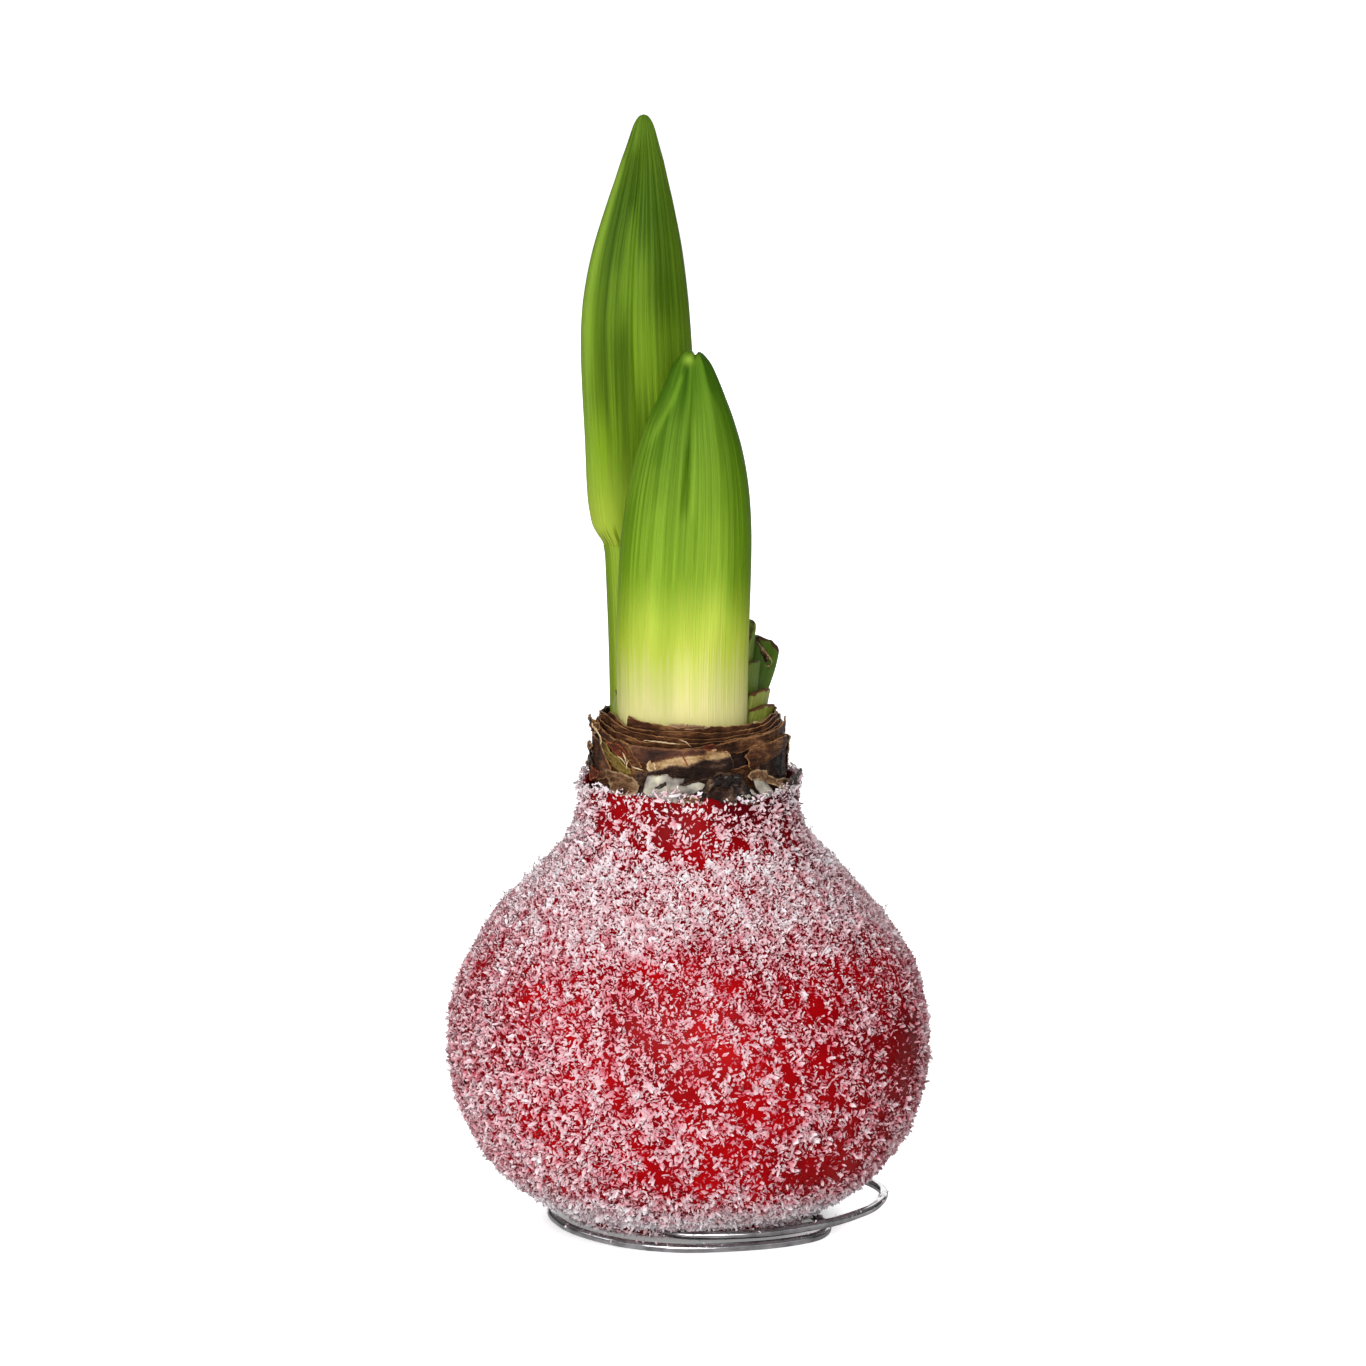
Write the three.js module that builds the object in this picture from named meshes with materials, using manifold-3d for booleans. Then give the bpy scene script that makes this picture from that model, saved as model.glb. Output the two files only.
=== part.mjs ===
// A waxed amaryllis bulb on a bent-wire stand.
//
// A forced amaryllis bulb is dipped in wax, which keeps its water in, and is stood on one
// length of spring wire. Two flower stalks rise from the cut neck: a tall one at the back,
// whose bud has cleared its stem, and a short one in front, still all bud. Beside them are
// the stubs of leaves and scales that were cut back, and papery tunics wrap the neck.
//
// Millimetres, +Z up. The origin is on the surface that the stand rests on, on the bulb's
// own axis. -Y is the front, where the short bud is, and +X is to the right of it.
// Angles are in degrees from +X, anticlockwise seen from above.

import * as THREE from "three";
import { mergeVertices } from "three/addons/utils/BufferGeometryUtils.js";
import Module from "manifold-3d";

// ---------------------------------------------------------------- driving dimensions

const FIT_GAP = 0.3; // air kept between pieces that touch
const SOCKET_GAP = 0.4; // and round a stub's root, whose curve makes it harder to follow

// Wax coat. The outline is [radius, height] up the outside, from foot to neck rim.
const WAX_OUTLINE = [
  [25.2, 4.4],
  [28.4, 5.6],
  [33.2, 8.2],
  [38.1, 12.4],
  [42.8, 19.4],
  [45.8, 28.0],
  [46.8, 36.0],
  [45.9, 44.5],
  [43.0, 53.0],
  [36.8, 62.8],
  [28.6, 71.4],
  [23.6, 77.6],
  [21.6, 82.6],
  [21.3, 88.3],
];
const WAX_WALL = 2; // on the belly
const WAX_RIM_WALL = 1; // at the neck, where the wax runs thin
const FOOT_RADIUS = 24.7;
const FOOT_UNDERSIDE = 2.1;
const FOOT_EDGE = 1.2; // bevel round the underside
const FOOT_TOP = 5.5; // where the basal plate sits
const BASAL_PLATE_RADIUS = 18;
const SWELL = 0.011; // share by which the belly is out of round
const BELLY = { foot: 8, full: 26, shoulder: 58, neck: 78 }; // heights that the swell fades between

// Cut neck, and the tunics wrapped round it.
const NECK_RADIUS = 16.6;
const NECK_TOP = 100.2;
const NECK_BEVEL = 1;
const LEDGE = 86; // where the tunics stand on the bulb's shoulder
const RIM_THINNING = 16; // height below the ledge over which the wax thins to its rim
const TUNIC_WALL = 0.45;
const TUNIC_TOPS = [101.2, 100.2, 99, 97.4]; // from the innermost out
const TUNIC_RAGGED = 0.5; // how far a torn top edge rises and falls

// Wire stand.
const WIRE_RADIUS = 0.9;
const WIRE_SIDES = 10; // even, so that one side lies flat on the surface
const WIRE_STEP = 5.6;
const PIN_TOP = 16; // the pin's point, up in the basal plate
const PIN_BEND = 3; // radius of the bend from the pin to the coil
const COIL_LIFT = 2.15; // of the upper turn's start above the foot turn

// Stalks and buds. Outlines are [half width, height].
const STALK_ROOT = 90; // how deep the stalks sit in the neck
const FRONT_BUD_OUTLINE = [
  [12.6, STALK_ROOT],
  [12.7, 103],
  [12.9, 118],
  [12.9, 130],
  [12.6, 139],
  [11.9, 147],
  [10.5, 154],
  [8.6, 160],
  [6.2, 165.5],
  [4.2, 169.8],
  [2.6, 172.6],
  [0, 174],
];
const FRONT_BUD_DEPTH = 0.585; // depth as a share of width
const FRONT_BUD_FURROW = [122, 160]; // heights between which its furrow deepens
const FURROW = 0.09; // share of its depth that a bud loses along the seam between its valves
const REAR_STEM_TOP = 135.5;
const REAR_STEM_OUTLINE = [
  [7.4, STALK_ROOT],
  [7.5, 104],
  [7.9, 120],
  [8.1, REAR_STEM_TOP],
];
const REAR_BUD_OUTLINE = [
  [8.4, REAR_STEM_TOP + FIT_GAP],
  [9.9, 138],
  [10.4, 142],
  [10.8, 152],
  [11.0, 165],
  [10.8, 176],
  [10.1, 184],
  [8.7, 192.5],
  [6.9, 200.5],
  [4.6, 209],
  [2.6, 215.5],
  [1.4, 218.5],
  [0, 219.5],
];
const REAR_BUD_FURROW = [140, 185];
const REAR_DEPTH = 0.67;

// Stubs of cut leaves and scales. Each is a curved strip: part of a ring round a centre, over
// a range of angles. Shift is how far its top has moved towards [+X, +Y], and keel is how far
// its middle is pushed out into a fold.
const STUB_ROOT = 95;
const LEAF_FAN = [7, 3.6]; // the leaves and the scales that sheathe them grow round this
const STUBS = {
  scale_stub_low: {
    centre: LEAF_FAN, radius: 6.9, wall: 0.9, from: -66, to: 1, top: 103.6, shift: [1.6, 0],
  },
  scale_stub_mid: {
    centre: LEAF_FAN, radius: 5.6, wall: 1, from: -64, to: 12, top: 107.1, shift: [2, 0],
  },
  scale_stub_left: {
    centre: [0, 0], radius: 15.2, wall: 0.8, from: 171, to: 201, top: 105.2, shift: [0, 0],
  },
  leaf_stub_short: {
    centre: LEAF_FAN, radius: 4.3, wall: 0.9, from: -62, to: 16, top: 111.6, shift: [0.9, 0],
  },
  leaf_stub_folded: {
    centre: LEAF_FAN, radius: 6.2, wall: 1.2, from: 27, to: 96, top: 116.5, shift: [4.6, 0],
    keel: -1, rounding: 1.4,
  },
  leaf_stub_tall: {
    centre: LEAF_FAN, radius: 2.5, wall: 1.1, from: -50, to: 110, top: 119.8, shift: [1.9, 0.3],
  },
};

// Torn strips of the outermost tunic, which stand off the neck.
const TORN_RADIUS = 19.9;
const TORN_WALL = 0.4;
const TORN_STRIPS = {
  torn_tunic_left: { from: 170, to: 216, top: 98.8, lean: 0.5, rounding: 2.5 },
  torn_tunic_front: { from: 224, to: 284, top: 94.4, lean: 0.3, rounding: 1.5 },
  torn_tunic_right: { from: 292, to: 338, top: 96.6, lean: 0.3, rounding: 1 },
};
const TORN_FOOT = 89;

const ROUND_STEPS = 48; // facets round the bulb
const STALK_STEPS = 28;
const STRIP_STEP = 12; // degrees between facets of a strip
const SKIN_STEPS = 17; // facets up the wax's outside
const INNER_STEPS = 10; // and up its inside, which the bulb's own follow

// ---------------------------------------------------------------- helpers

const wasm = await Module();
wasm.setup();

const { clamp, degToRad, radToDeg, lerp, smoothstep } = THREE.MathUtils;

/** Merges shared vertices, keeps positions only, and drops faces that have no area. */
function welded(geometry) {
  const plain = new THREE.BufferGeometry();
  plain.setAttribute("position", geometry.getAttribute("position").clone());
  plain.setIndex(geometry.index ?? [...Array(geometry.attributes.position.count).keys()]);
  const merged = mergeVertices(plain, 1e-4);
  const corners = [];
  for (let i = 0; i < merged.index.count; i += 3) {
    const [a, b, c] = merged.index.array.slice(i, i + 3);
    if (a !== b && b !== c && c !== a) corners.push(a, b, c);
  }
  return merged.setIndex(corners);
}

/** Moves every vertex of a geometry with a function that changes the vector it is given. */
function warped(geometry, move) {
  const position = geometry.attributes.position;
  const vertex = new THREE.Vector3();
  for (let i = 0; i < position.count; i++) {
    move(vertex.fromBufferAttribute(position, i));
    position.setXYZ(i, vertex.x, vertex.y, vertex.z);
  }
  return geometry;
}

/** Moves vertices in cylindrical coordinates: move gets (radius, angle, z) and returns the same. */
function warpedRound(geometry, move) {
  return warped(geometry, (vertex) => {
    const [radius, angle, z] = move(
      Math.hypot(vertex.x, vertex.y),
      Math.atan2(vertex.y, vertex.x),
      vertex.z,
    );
    vertex.set(radius * Math.cos(angle), radius * Math.sin(angle), z);
  });
}

function solidOf(geometry) {
  const { index, attributes } = welded(geometry);
  const vertProperties = new Float32Array(attributes.position.array);
  const triVerts = new Uint32Array(index.array);
  return new wasm.Manifold(new wasm.Mesh({ numProp: 3, vertProperties, triVerts }));
}

function geometryOf(solid) {
  const { vertProperties, triVerts } = solid.getMesh();
  return new THREE.BufferGeometry()
    .setAttribute("position", new THREE.BufferAttribute(vertProperties, 3))
    .setIndex(new THREE.BufferAttribute(triVerts, 1));
}

/** A geometry with others cut out of it. */
function cut(geometry, tools) {
  const solid = tools.reduce((left, tool) => left.subtract(solidOf(tool)), solidOf(geometry));
  return geometryOf(solid);
}

/** A body of revolution about Z from [radius, height] points, listed up the outside. */
function turned(outline, steps = ROUND_STEPS) {
  const points = outline.map(([radius, height]) => new THREE.Vector2(radius, height));
  return welded(new THREE.LatheGeometry(points, steps).rotateX(Math.PI / 2));
}

/** More points on a smooth curve through an outline's own. */
function smoothed(outline, count) {
  const spline = new THREE.SplineCurve(outline.map(([r, z]) => new THREE.Vector2(r, z)));
  return spline.getPoints(count).map((point) => [Math.max(0, point.x), point.y]);
}

/** An outline moved inwards, square to itself, by a distance that may change with height. */
function inset(outline, distanceAt) {
  return outline.map(([radius, height], i) => {
    const [r0, z0] = outline[Math.max(0, i - 1)];
    const [r1, z1] = outline[Math.min(outline.length - 1, i + 1)];
    const along = new THREE.Vector2(r1 - r0, z1 - z0).normalize();
    const distance = distanceAt(height);
    return [radius - along.y * distance, height + along.x * distance];
  });
}

// ---------------------------------------------------------------- bulb and wax

/** Makes the belly a little out of round, the same for the wax and the bulb inside it. */
function swollen(geometry) {
  return warpedRound(geometry, (radius, angle, z) => {
    const { foot, full, shoulder, neck } = BELLY;
    const belly = smoothstep(z, foot, full) * (1 - smoothstep(z, shoulder, neck));
    const wave = Math.cos(2 * angle + 0.9) + 0.5 * Math.cos(3 * angle + 2.2);
    return [radius * (1 + SWELL * belly * wave), angle, z];
  });
}

const waxOutside = smoothed(WAX_OUTLINE, SKIN_STEPS);
const waxLining = smoothed(WAX_OUTLINE, INNER_STEPS); // coarser, for the faces inside
const rimHeight = WAX_OUTLINE.at(-1)[1];

function waxWall(height) {
  return lerp(WAX_WALL, WAX_RIM_WALL, smoothstep(height, LEDGE - RIM_THINNING, LEDGE));
}

/** The lining of the wax, moved in by a wall, between the basal plate and a top height. */
function liningBetween(wallAt, bottom, top) {
  const clear = 0.6; // keeps its first point off the basal plate's rim
  return inset(waxLining, wallAt).filter(([, z]) => z > bottom + clear && z < top - clear);
}

/** The wax: a closed skin from the foot to the neck, open where the neck comes out. */
function waxCoat(wireRoute) {
  const inside = liningBetween(waxWall, FOOT_TOP, rimHeight);
  const rimInside = WAX_OUTLINE.at(-1)[0] - WAX_RIM_WALL;
  const skin = turned([
    [0, FOOT_UNDERSIDE],
    [FOOT_RADIUS - FOOT_EDGE, FOOT_UNDERSIDE],
    [FOOT_RADIUS, FOOT_UNDERSIDE + FOOT_EDGE],
    ...waxOutside,
    [rimInside, rimHeight],
    ...inside.reverse(),
    [BASAL_PLATE_RADIUS, FOOT_TOP],
    [0, FOOT_TOP],
  ]);
  return cut(swollen(skin), [wireBore(wireRoute)]);
}

/** The bulb's body and cut neck, with sockets for what grows out of it and for the pin. */
function bulbBody(wireRoute) {
  const gapAt = (height) => waxWall(height) + FIT_GAP;
  const belly = liningBetween(gapAt, FOOT_TOP + FIT_GAP, LEDGE);
  const ledgeRadius = WAX_OUTLINE.at(-1)[0] - WAX_RIM_WALL - FIT_GAP;
  const body = turned([
    [0, FOOT_TOP + FIT_GAP],
    [BASAL_PLATE_RADIUS - FIT_GAP, FOOT_TOP + FIT_GAP],
    ...belly,
    [ledgeRadius, LEDGE],
    [NECK_RADIUS, LEDGE],
    [NECK_RADIUS, NECK_TOP - NECK_BEVEL],
    [NECK_RADIUS - NECK_BEVEL, NECK_TOP],
    [0, NECK_TOP],
  ]);
  const sockets = [frontBud(FIT_GAP), rearStem(FIT_GAP)];
  for (const stub of Object.values(STUBS)) sockets.push(stubSocket(stub));
  return cut(swollen(body), [...sockets, wireBore(wireRoute)]);
}

/** One papery tunic: a thin ring round the neck with a ragged top edge. */
function tunic(layer) {
  const inner = NECK_RADIUS + FIT_GAP + layer * (TUNIC_WALL + FIT_GAP);
  const bottom = LEDGE + FIT_GAP;
  const top = TUNIC_TOPS[layer];
  const middle = (bottom + top) / 2;
  const ring = turned([
    [inner, bottom],
    [inner + TUNIC_WALL, bottom],
    [inner + TUNIC_WALL, top],
    [inner, top],
    [inner, bottom],
  ]);
  return warpedRound(ring, (radius, angle, z) => {
    const torn = Math.sin(3 * angle + 2 * layer) + 0.6 * Math.sin(7 * angle + layer);
    return [radius, angle, z > middle ? z + TUNIC_RAGGED * torn : z];
  });
}

// ---------------------------------------------------------------- stalks, buds and stubs

/** A stalk or bud: a turned outline made oval, with its middle moved as its height asks. */
function stalk(outline, depthShare, middleAt, grow = 0) {
  const grown = outline.map(([halfWidth, z]) => [halfWidth > 0 ? halfWidth + grow : 0, z]);
  const [footWidth, foot] = grown[0];
  const [tipWidth, tip] = grown.at(-1);
  const crown = tipWidth > 0 ? [[0, tip]] : [];
  const body = turned(
    [[0, foot - grow], [footWidth, foot - grow], ...grown.slice(1), ...crown],
    STALK_STEPS,
  );
  return warped(body, (vertex) => {
    const [x, y] = middleAt(vertex.z);
    // the oval is narrower than the turned body, so what it grows by in depth is made good
    const madeGood = grow * (1 - depthShare) * clamp(vertex.y, -1, 1);
    vertex.set(x + vertex.x, y + vertex.y * depthShare + madeGood, vertex.z);
  });
}

/** A bud, with a furrow front and back that fades out from its upper end to its lower. */
function furrowed(bud, middleAt, [lower, upper]) {
  return warped(bud, (vertex) => {
    const [x, y] = middleAt(vertex.z);
    const near = Math.exp(-((vertex.x - x) ** 2) / 2);
    const depth = FURROW * smoothstep(vertex.z, lower, upper) * near;
    vertex.y = lerp(vertex.y, y, depth);
  });
}

function frontMiddle(z) {
  return [lerp(-1.4, 0.3, smoothstep(z, 110, 168)), -7.3];
}

function frontBud(grow = 0) {
  const bud = stalk(FRONT_BUD_OUTLINE, FRONT_BUD_DEPTH, frontMiddle, grow);
  return furrowed(bud, frontMiddle, FRONT_BUD_FURROW);
}

/** Where the middle of the rear stem and its bud is at a height: the stalk leans to the left. */
function rearMiddle(z) {
  const x = lerp(-7.7, -9.6, smoothstep(z, 96, 150)) - lerp(0, 0.9, smoothstep(z, 150, 180));
  return [x + lerp(0, 1.4, smoothstep(z, 180, 220)), lerp(4.8, 6.4, smoothstep(z, 100, 150))];
}

function rearStem(grow = 0) {
  return stalk(REAR_STEM_OUTLINE, REAR_DEPTH, rearMiddle, grow);
}

function rearBud() {
  const bud = stalk(REAR_BUD_OUTLINE, REAR_DEPTH, rearMiddle);
  return furrowed(bud, rearMiddle, REAR_BUD_FURROW);
}

/**
 * A strip that is part of a ring, standing from bottom to top. Its top may lean outwards, shift
 * sideways or be rounded at the corners, and its middle may be pushed out into a keel.
 */
function strip({ radius, wall, from, to, bottom, top, ...shape }) {
  const { centre = [0, 0], lean = 0, shift = [0, 0], keel = 0, rounding = 0.6 } = shape;
  const [start, end] = [degToRad(from), degToRad(to)];
  const section = new THREE.Shape();
  section.absarc(0, 0, radius + wall, start, end, false);
  section.absarc(0, 0, radius, end, start, true);
  const height = top - bottom;
  const body = new THREE.ExtrudeGeometry(section, {
    depth: height,
    steps: 4,
    curveSegments: Math.max(3, Math.round((to - from) / STRIP_STEP)),
    bevelEnabled: false,
  });
  warpedRound(body.translate(0, 0, bottom), (r, angle, z) => {
    const rise = (z - bottom) / height;
    let turn = angle - start;
    if (turn < -Math.PI) turn += 2 * Math.PI;
    const across = (2 * turn) / (end - start) - 1; // -1 to 1 over the strip's width
    const shoulder = rounding * rise ** 3 * across * across;
    return [r + lean * rise * rise + keel * (1 - Math.abs(across)), angle, z - shoulder];
  });
  return warped(body, (vertex) => {
    const rise = (vertex.z - bottom) / height;
    vertex.x += centre[0] + shift[0] * rise;
    vertex.y += centre[1] + shift[1] * rise;
  });
}

/** A stub of a cut leaf or scale, rooted in the neck. */
function cutStub(stub) {
  return strip({ ...stub, bottom: STUB_ROOT });
}

/** The socket for a stub: the stub with a gap all round it. */
function stubSocket(stub) {
  const spread = radToDeg(SOCKET_GAP / stub.radius);
  return strip({
    ...stub,
    radius: stub.radius - SOCKET_GAP,
    wall: stub.wall + 2 * SOCKET_GAP,
    from: stub.from - spread,
    to: stub.to + spread,
    bottom: STUB_ROOT - FIT_GAP,
  });
}

// ---------------------------------------------------------------- wire stand

const FLOOR_LEVEL = WIRE_RADIUS * Math.cos(Math.PI / WIRE_SIDES); // wire's middle, on the surface

// The coil as [angle, radius, height above the foot turn]. It leaves the foot of the wax at
// the front left through an elbow, swings wide to the right and round the back, comes down on the left, and
// lies flat for the rest: across the front again, then curled in under the bulb.
const COIL = [
  [-108, 23.4, COIL_LIFT],
  [-91, 26.1, COIL_LIFT],
  [-62, 28.6, COIL_LIFT + 0.1],
  [-37, 32.2, 2.6],
  [-17, 36.5, 3.3],
  [2, 38.6, 3.9],
  [22, 37.4, 3.8],
  [47, 33.6, 3.2],
  [76, 30.2, 2.5],
  [110, 28.4, 1.7],
  [144, 27.8, 0.7],
  [172, 27.6, 0],
  [200, 26.3, 0],
  [222, 26.2, 0],
  [244, 27.3, 0],
  [266, 28.3, 0],
  [288, 28.5, 0],
  [308, 30.0, 0],
  [324, 31.0, 0],
  [338, 29.2, 0],
  [356, 24.8, 0],
  [388, 21.6, 0],
  [430, 19.6, 0],
  [475, 18.4, 0],
];

/** Points a wire-step apart down the pin, out through the foot and along the coil. */
function wirePoints() {
  const stations = COIL.map(([angle, radius]) => {
    const turn = degToRad(angle);
    return new THREE.Vector3(radius * Math.cos(turn), radius * Math.sin(turn), 0);
  });
  const heading = stations[0].clone().normalize();
  const runHeight = FLOOR_LEVEL + COIL_LIFT;
  const points = [
    new THREE.Vector3(0, 0, PIN_TOP),
    new THREE.Vector3(0, 0, (PIN_TOP + runHeight + PIN_BEND) / 2),
  ];
  for (let i = 0; i <= 4; i++) {
    const turn = (Math.PI / 2) * (i / 4);
    const out = heading.clone().multiplyScalar(PIN_BEND * (1 - Math.cos(turn)));
    points.push(out.setZ(runHeight + PIN_BEND * (1 - Math.sin(turn))));
  }
  for (const share of [0.35, 0.6]) {
    points.push(stations[0].clone().multiplyScalar(share).setZ(runHeight));
  }
  const plan = new THREE.CatmullRomCurve3(stations);
  const steps = Math.round(plan.getLength() / WIRE_STEP);
  const elbow = new THREE.QuadraticBezierCurve3(
    stations[0].clone().multiplyScalar(0.85),
    stations[0],
    plan.getPointAt(0.6 / steps),
  );
  for (const point of elbow.getPoints(3)) points.push(point.setZ(runHeight));
  for (let i = 1; i <= steps; i++) {
    const t = plan.getUtoTmapping(i / steps);
    const station = Math.min(COIL.length - 2, Math.floor(t * (COIL.length - 1)));
    const share = smoothstep(t * (COIL.length - 1) - station, 0, 1);
    const lift = lerp(COIL[station][2], COIL[station + 1][2], share);
    points.push(plan.getPoint(t).setZ(FLOOR_LEVEL + lift));
  }
  return points;
}

/** A round wire along the points, turned so that one of its flats faces down. */
function wire(points, radius) {
  const last = points.length - 1;
  const up = new THREE.Vector3(0, 0, 1);
  const level = points.map((_, i) => {
    const ahead = points[Math.min(last, i + 1)].clone().sub(points[Math.max(0, i - 1)]);
    return ahead.lengthSq() > 0 ? ahead.normalize() : ahead;
  });
  // the pin has no heading in plan, so it takes that of the wire where it first has one
  const firstLevel = level.findIndex((along) => Math.hypot(along.x, along.y) > 0.1);
  const rod = new THREE.CylinderGeometry(radius, radius, last, WIRE_SIDES, last);
  return warped(welded(rod), (vertex) => {
    const i = Math.round(last / 2 - vertex.y);
    const along = level[i];
    const heading = level[Math.max(i, firstLevel)].clone().setZ(0).normalize();
    const side = new THREE.Vector3().crossVectors(heading, up);
    const over = new THREE.Vector3().crossVectors(side, along);
    vertex.copy(points[i].clone().addScaledVector(side, vertex.z).addScaledVector(over, vertex.x));
  });
}

/** The bore for the wire: the wire with a gap all round it, and past the pin's point. */
function wireBore([point, ...rest]) {
  return wire([point.clone().setZ(PIN_TOP + FIT_GAP), ...rest], WIRE_RADIUS + FIT_GAP);
}

// ---------------------------------------------------------------- assembly

const FINISHES = {
  wax: new THREE.MeshStandardMaterial({ color: 0xa30f14, roughness: 0.35 }),
  scale: new THREE.MeshStandardMaterial({ color: 0x7d6a3c, roughness: 0.7 }),
  tunic: new THREE.MeshStandardMaterial({ color: 0x5a3a22, roughness: 0.85 }),
  bud: new THREE.MeshStandardMaterial({ color: 0x6f9f2a, roughness: 0.45 }),
  stem: new THREE.MeshStandardMaterial({ color: 0x8fb03a, roughness: 0.45 }),
  leaf: new THREE.MeshStandardMaterial({ color: 0x4f8a1c, roughness: 0.5 }),
  pale_scale: new THREE.MeshStandardMaterial({ color: 0xa9b05a, roughness: 0.6 }),
  wire: new THREE.MeshStandardMaterial({ color: 0xb8babd, roughness: 0.25, metalness: 1 }),
};

const amaryllis = new THREE.Group();
amaryllis.name = "amaryllis_bulb";

function add(name, geometry, finish) {
  const mesh = new THREE.Mesh(geometry, FINISHES[finish].clone());
  mesh.name = name;
  amaryllis.add(mesh);
}

const wireRoute = wirePoints();
add("wire_stand", wire(wireRoute, WIRE_RADIUS), "wire");
add("wax_coat", waxCoat(wireRoute), "wax");
add("bulb", bulbBody(wireRoute), "scale");
TUNIC_TOPS.forEach((_, layer) => add(`tunic_${layer + 1}`, tunic(layer), "tunic"));
for (const [name, torn] of Object.entries(TORN_STRIPS)) {
  add(name, strip({ ...torn, radius: TORN_RADIUS, wall: TORN_WALL, bottom: TORN_FOOT }), "tunic");
}
add("front_bud", frontBud(), "bud");
add("rear_stem", rearStem(), "stem");
add("rear_bud", rearBud(), "bud");
for (const [name, stub] of Object.entries(STUBS)) {
  add(name, cutStub(stub), name.startsWith("leaf") ? "leaf" : "pale_scale");
}

export default amaryllis;
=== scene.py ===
# %% [markdown]
# # A waxed amaryllis bulb on a bent-wire stand
#
# This lesson finishes a forced amaryllis: a bulb dipped in red wax, rolled in flakes of
# artificial snow and stood on a coil of steel wire, with a short green bud in front and a
# tall one behind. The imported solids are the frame. They say where every piece goes, so each
# finer piece is made at the same place and to the same size, in millimetres, and is turned
# into metres as its mesh is made.

import bpy
import numpy as np
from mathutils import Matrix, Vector
from mathutils.geometry import delaunay_2d_cdt


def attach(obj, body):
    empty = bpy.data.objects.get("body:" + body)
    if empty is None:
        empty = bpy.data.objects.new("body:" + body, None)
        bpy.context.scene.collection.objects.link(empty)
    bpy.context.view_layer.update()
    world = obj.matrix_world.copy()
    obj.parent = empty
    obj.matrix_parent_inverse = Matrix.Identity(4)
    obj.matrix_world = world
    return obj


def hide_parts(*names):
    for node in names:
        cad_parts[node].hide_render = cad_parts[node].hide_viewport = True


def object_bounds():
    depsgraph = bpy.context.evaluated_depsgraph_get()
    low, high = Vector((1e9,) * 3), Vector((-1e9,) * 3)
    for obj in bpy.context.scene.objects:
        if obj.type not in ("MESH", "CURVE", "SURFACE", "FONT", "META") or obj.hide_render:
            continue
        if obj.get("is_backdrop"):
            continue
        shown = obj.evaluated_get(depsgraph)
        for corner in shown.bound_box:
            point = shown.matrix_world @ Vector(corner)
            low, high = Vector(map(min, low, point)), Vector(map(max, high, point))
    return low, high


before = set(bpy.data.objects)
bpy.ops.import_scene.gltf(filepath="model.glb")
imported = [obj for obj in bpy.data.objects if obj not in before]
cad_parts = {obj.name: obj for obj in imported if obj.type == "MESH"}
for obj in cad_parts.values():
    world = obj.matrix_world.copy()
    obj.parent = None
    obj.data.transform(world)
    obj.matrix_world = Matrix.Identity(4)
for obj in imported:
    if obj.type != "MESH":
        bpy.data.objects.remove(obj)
cad_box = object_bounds()
print("solids in the frame:", len(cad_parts))

# %% [markdown]
# ## Camera
#
# The object is seen from the front, a little above its middle, through a long lens. A long
# lens keeps the neck's ellipses shallow and the tall bud upright. An empty to track would
# work too, but a direction turned into an angle needs no second object.

# %% Place the camera
MM = 0.001
CAMERA_PLACE = Vector((-0.00127, -1.28400, 0.31096))
CAMERA_TARGET = Vector((-0.00127, 0, 0.1076))
LENS = 174.8  # millimetres, on a sensor 36 mm wide

camera = bpy.data.objects.new("camera", bpy.data.cameras.new("camera"))
bpy.context.collection.objects.link(camera)
camera.location = CAMERA_PLACE
camera.rotation_euler = (CAMERA_TARGET - CAMERA_PLACE).to_track_quat("-Z", "Y").to_euler()
camera.data.lens = LENS
camera.data.sensor_width = 36
camera.data.clip_end = 100
bpy.context.scene.camera = camera
print("camera is", round((CAMERA_TARGET - CAMERA_PLACE).length, 3), "m away")

# %% [markdown]
# ## Helpers for shapes
#
# Everything here grows: outlines swell smoothly, edges tear and surfaces ripple. A curve
# through a few measured points gives the outline, and a sum of plane waves in random
# directions gives ripples that look natural, cost little and are the same on every run.

# %% Curves, fades and ripples


def fade(x, low, high):
    """0 below low, 1 above high, and smooth between them."""
    t = np.clip((np.asarray(x, float) - low) / (high - low), 0, 1)
    return t * t * (3 - 2 * t)


def bell(x, middle, width):
    """1 at the middle, and down to about a third a width away."""
    return np.exp(-(((np.asarray(x, float) - middle) / width) ** 2))


def curve_through(points, count):
    """count + 1 points on a smooth curve through the given ones."""
    p = np.array(points, float)
    t = np.linspace(0, len(p) - 1, count + 1)
    i = np.minimum(t.astype(int), len(p) - 2)
    w = (t - i)[:, None]
    before, a, b = p[np.maximum(i - 1, 0)], p[i], p[i + 1]
    after = p[np.minimum(i + 2, len(p) - 1)]
    va, vb = (b - before) / 2, (after - a) / 2
    return (2 * a - 2 * b + va + vb) * w**3 + (3 * b - 3 * a - 2 * va - vb) * w**2 + va * w + a


WAVES = 18


def ripple(points, length, seed):
    """Smooth random heights, about -1 to 1, with waves about length long."""
    points = np.asarray(points, float)
    rng = np.random.default_rng(seed)
    heading = rng.normal(size=(WAVES, points.shape[-1]))
    heading /= np.linalg.norm(heading, axis=1)[:, None]
    heading /= length * rng.uniform(0.6, 1.6, (WAVES, 1))
    phase = rng.uniform(0, 2 * np.pi, WAVES)
    return np.sin(points @ heading.T * 2 * np.pi + phase).sum(-1) / np.sqrt(WAVES)


def around(radius, angle, z):
    """Points at a radius, an angle in radians and a height."""
    radius, angle, z = np.broadcast_arrays(radius, angle, z)
    return np.stack([radius * np.cos(angle), radius * np.sin(angle), z], -1)


# %% Meshes from rows of points


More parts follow.
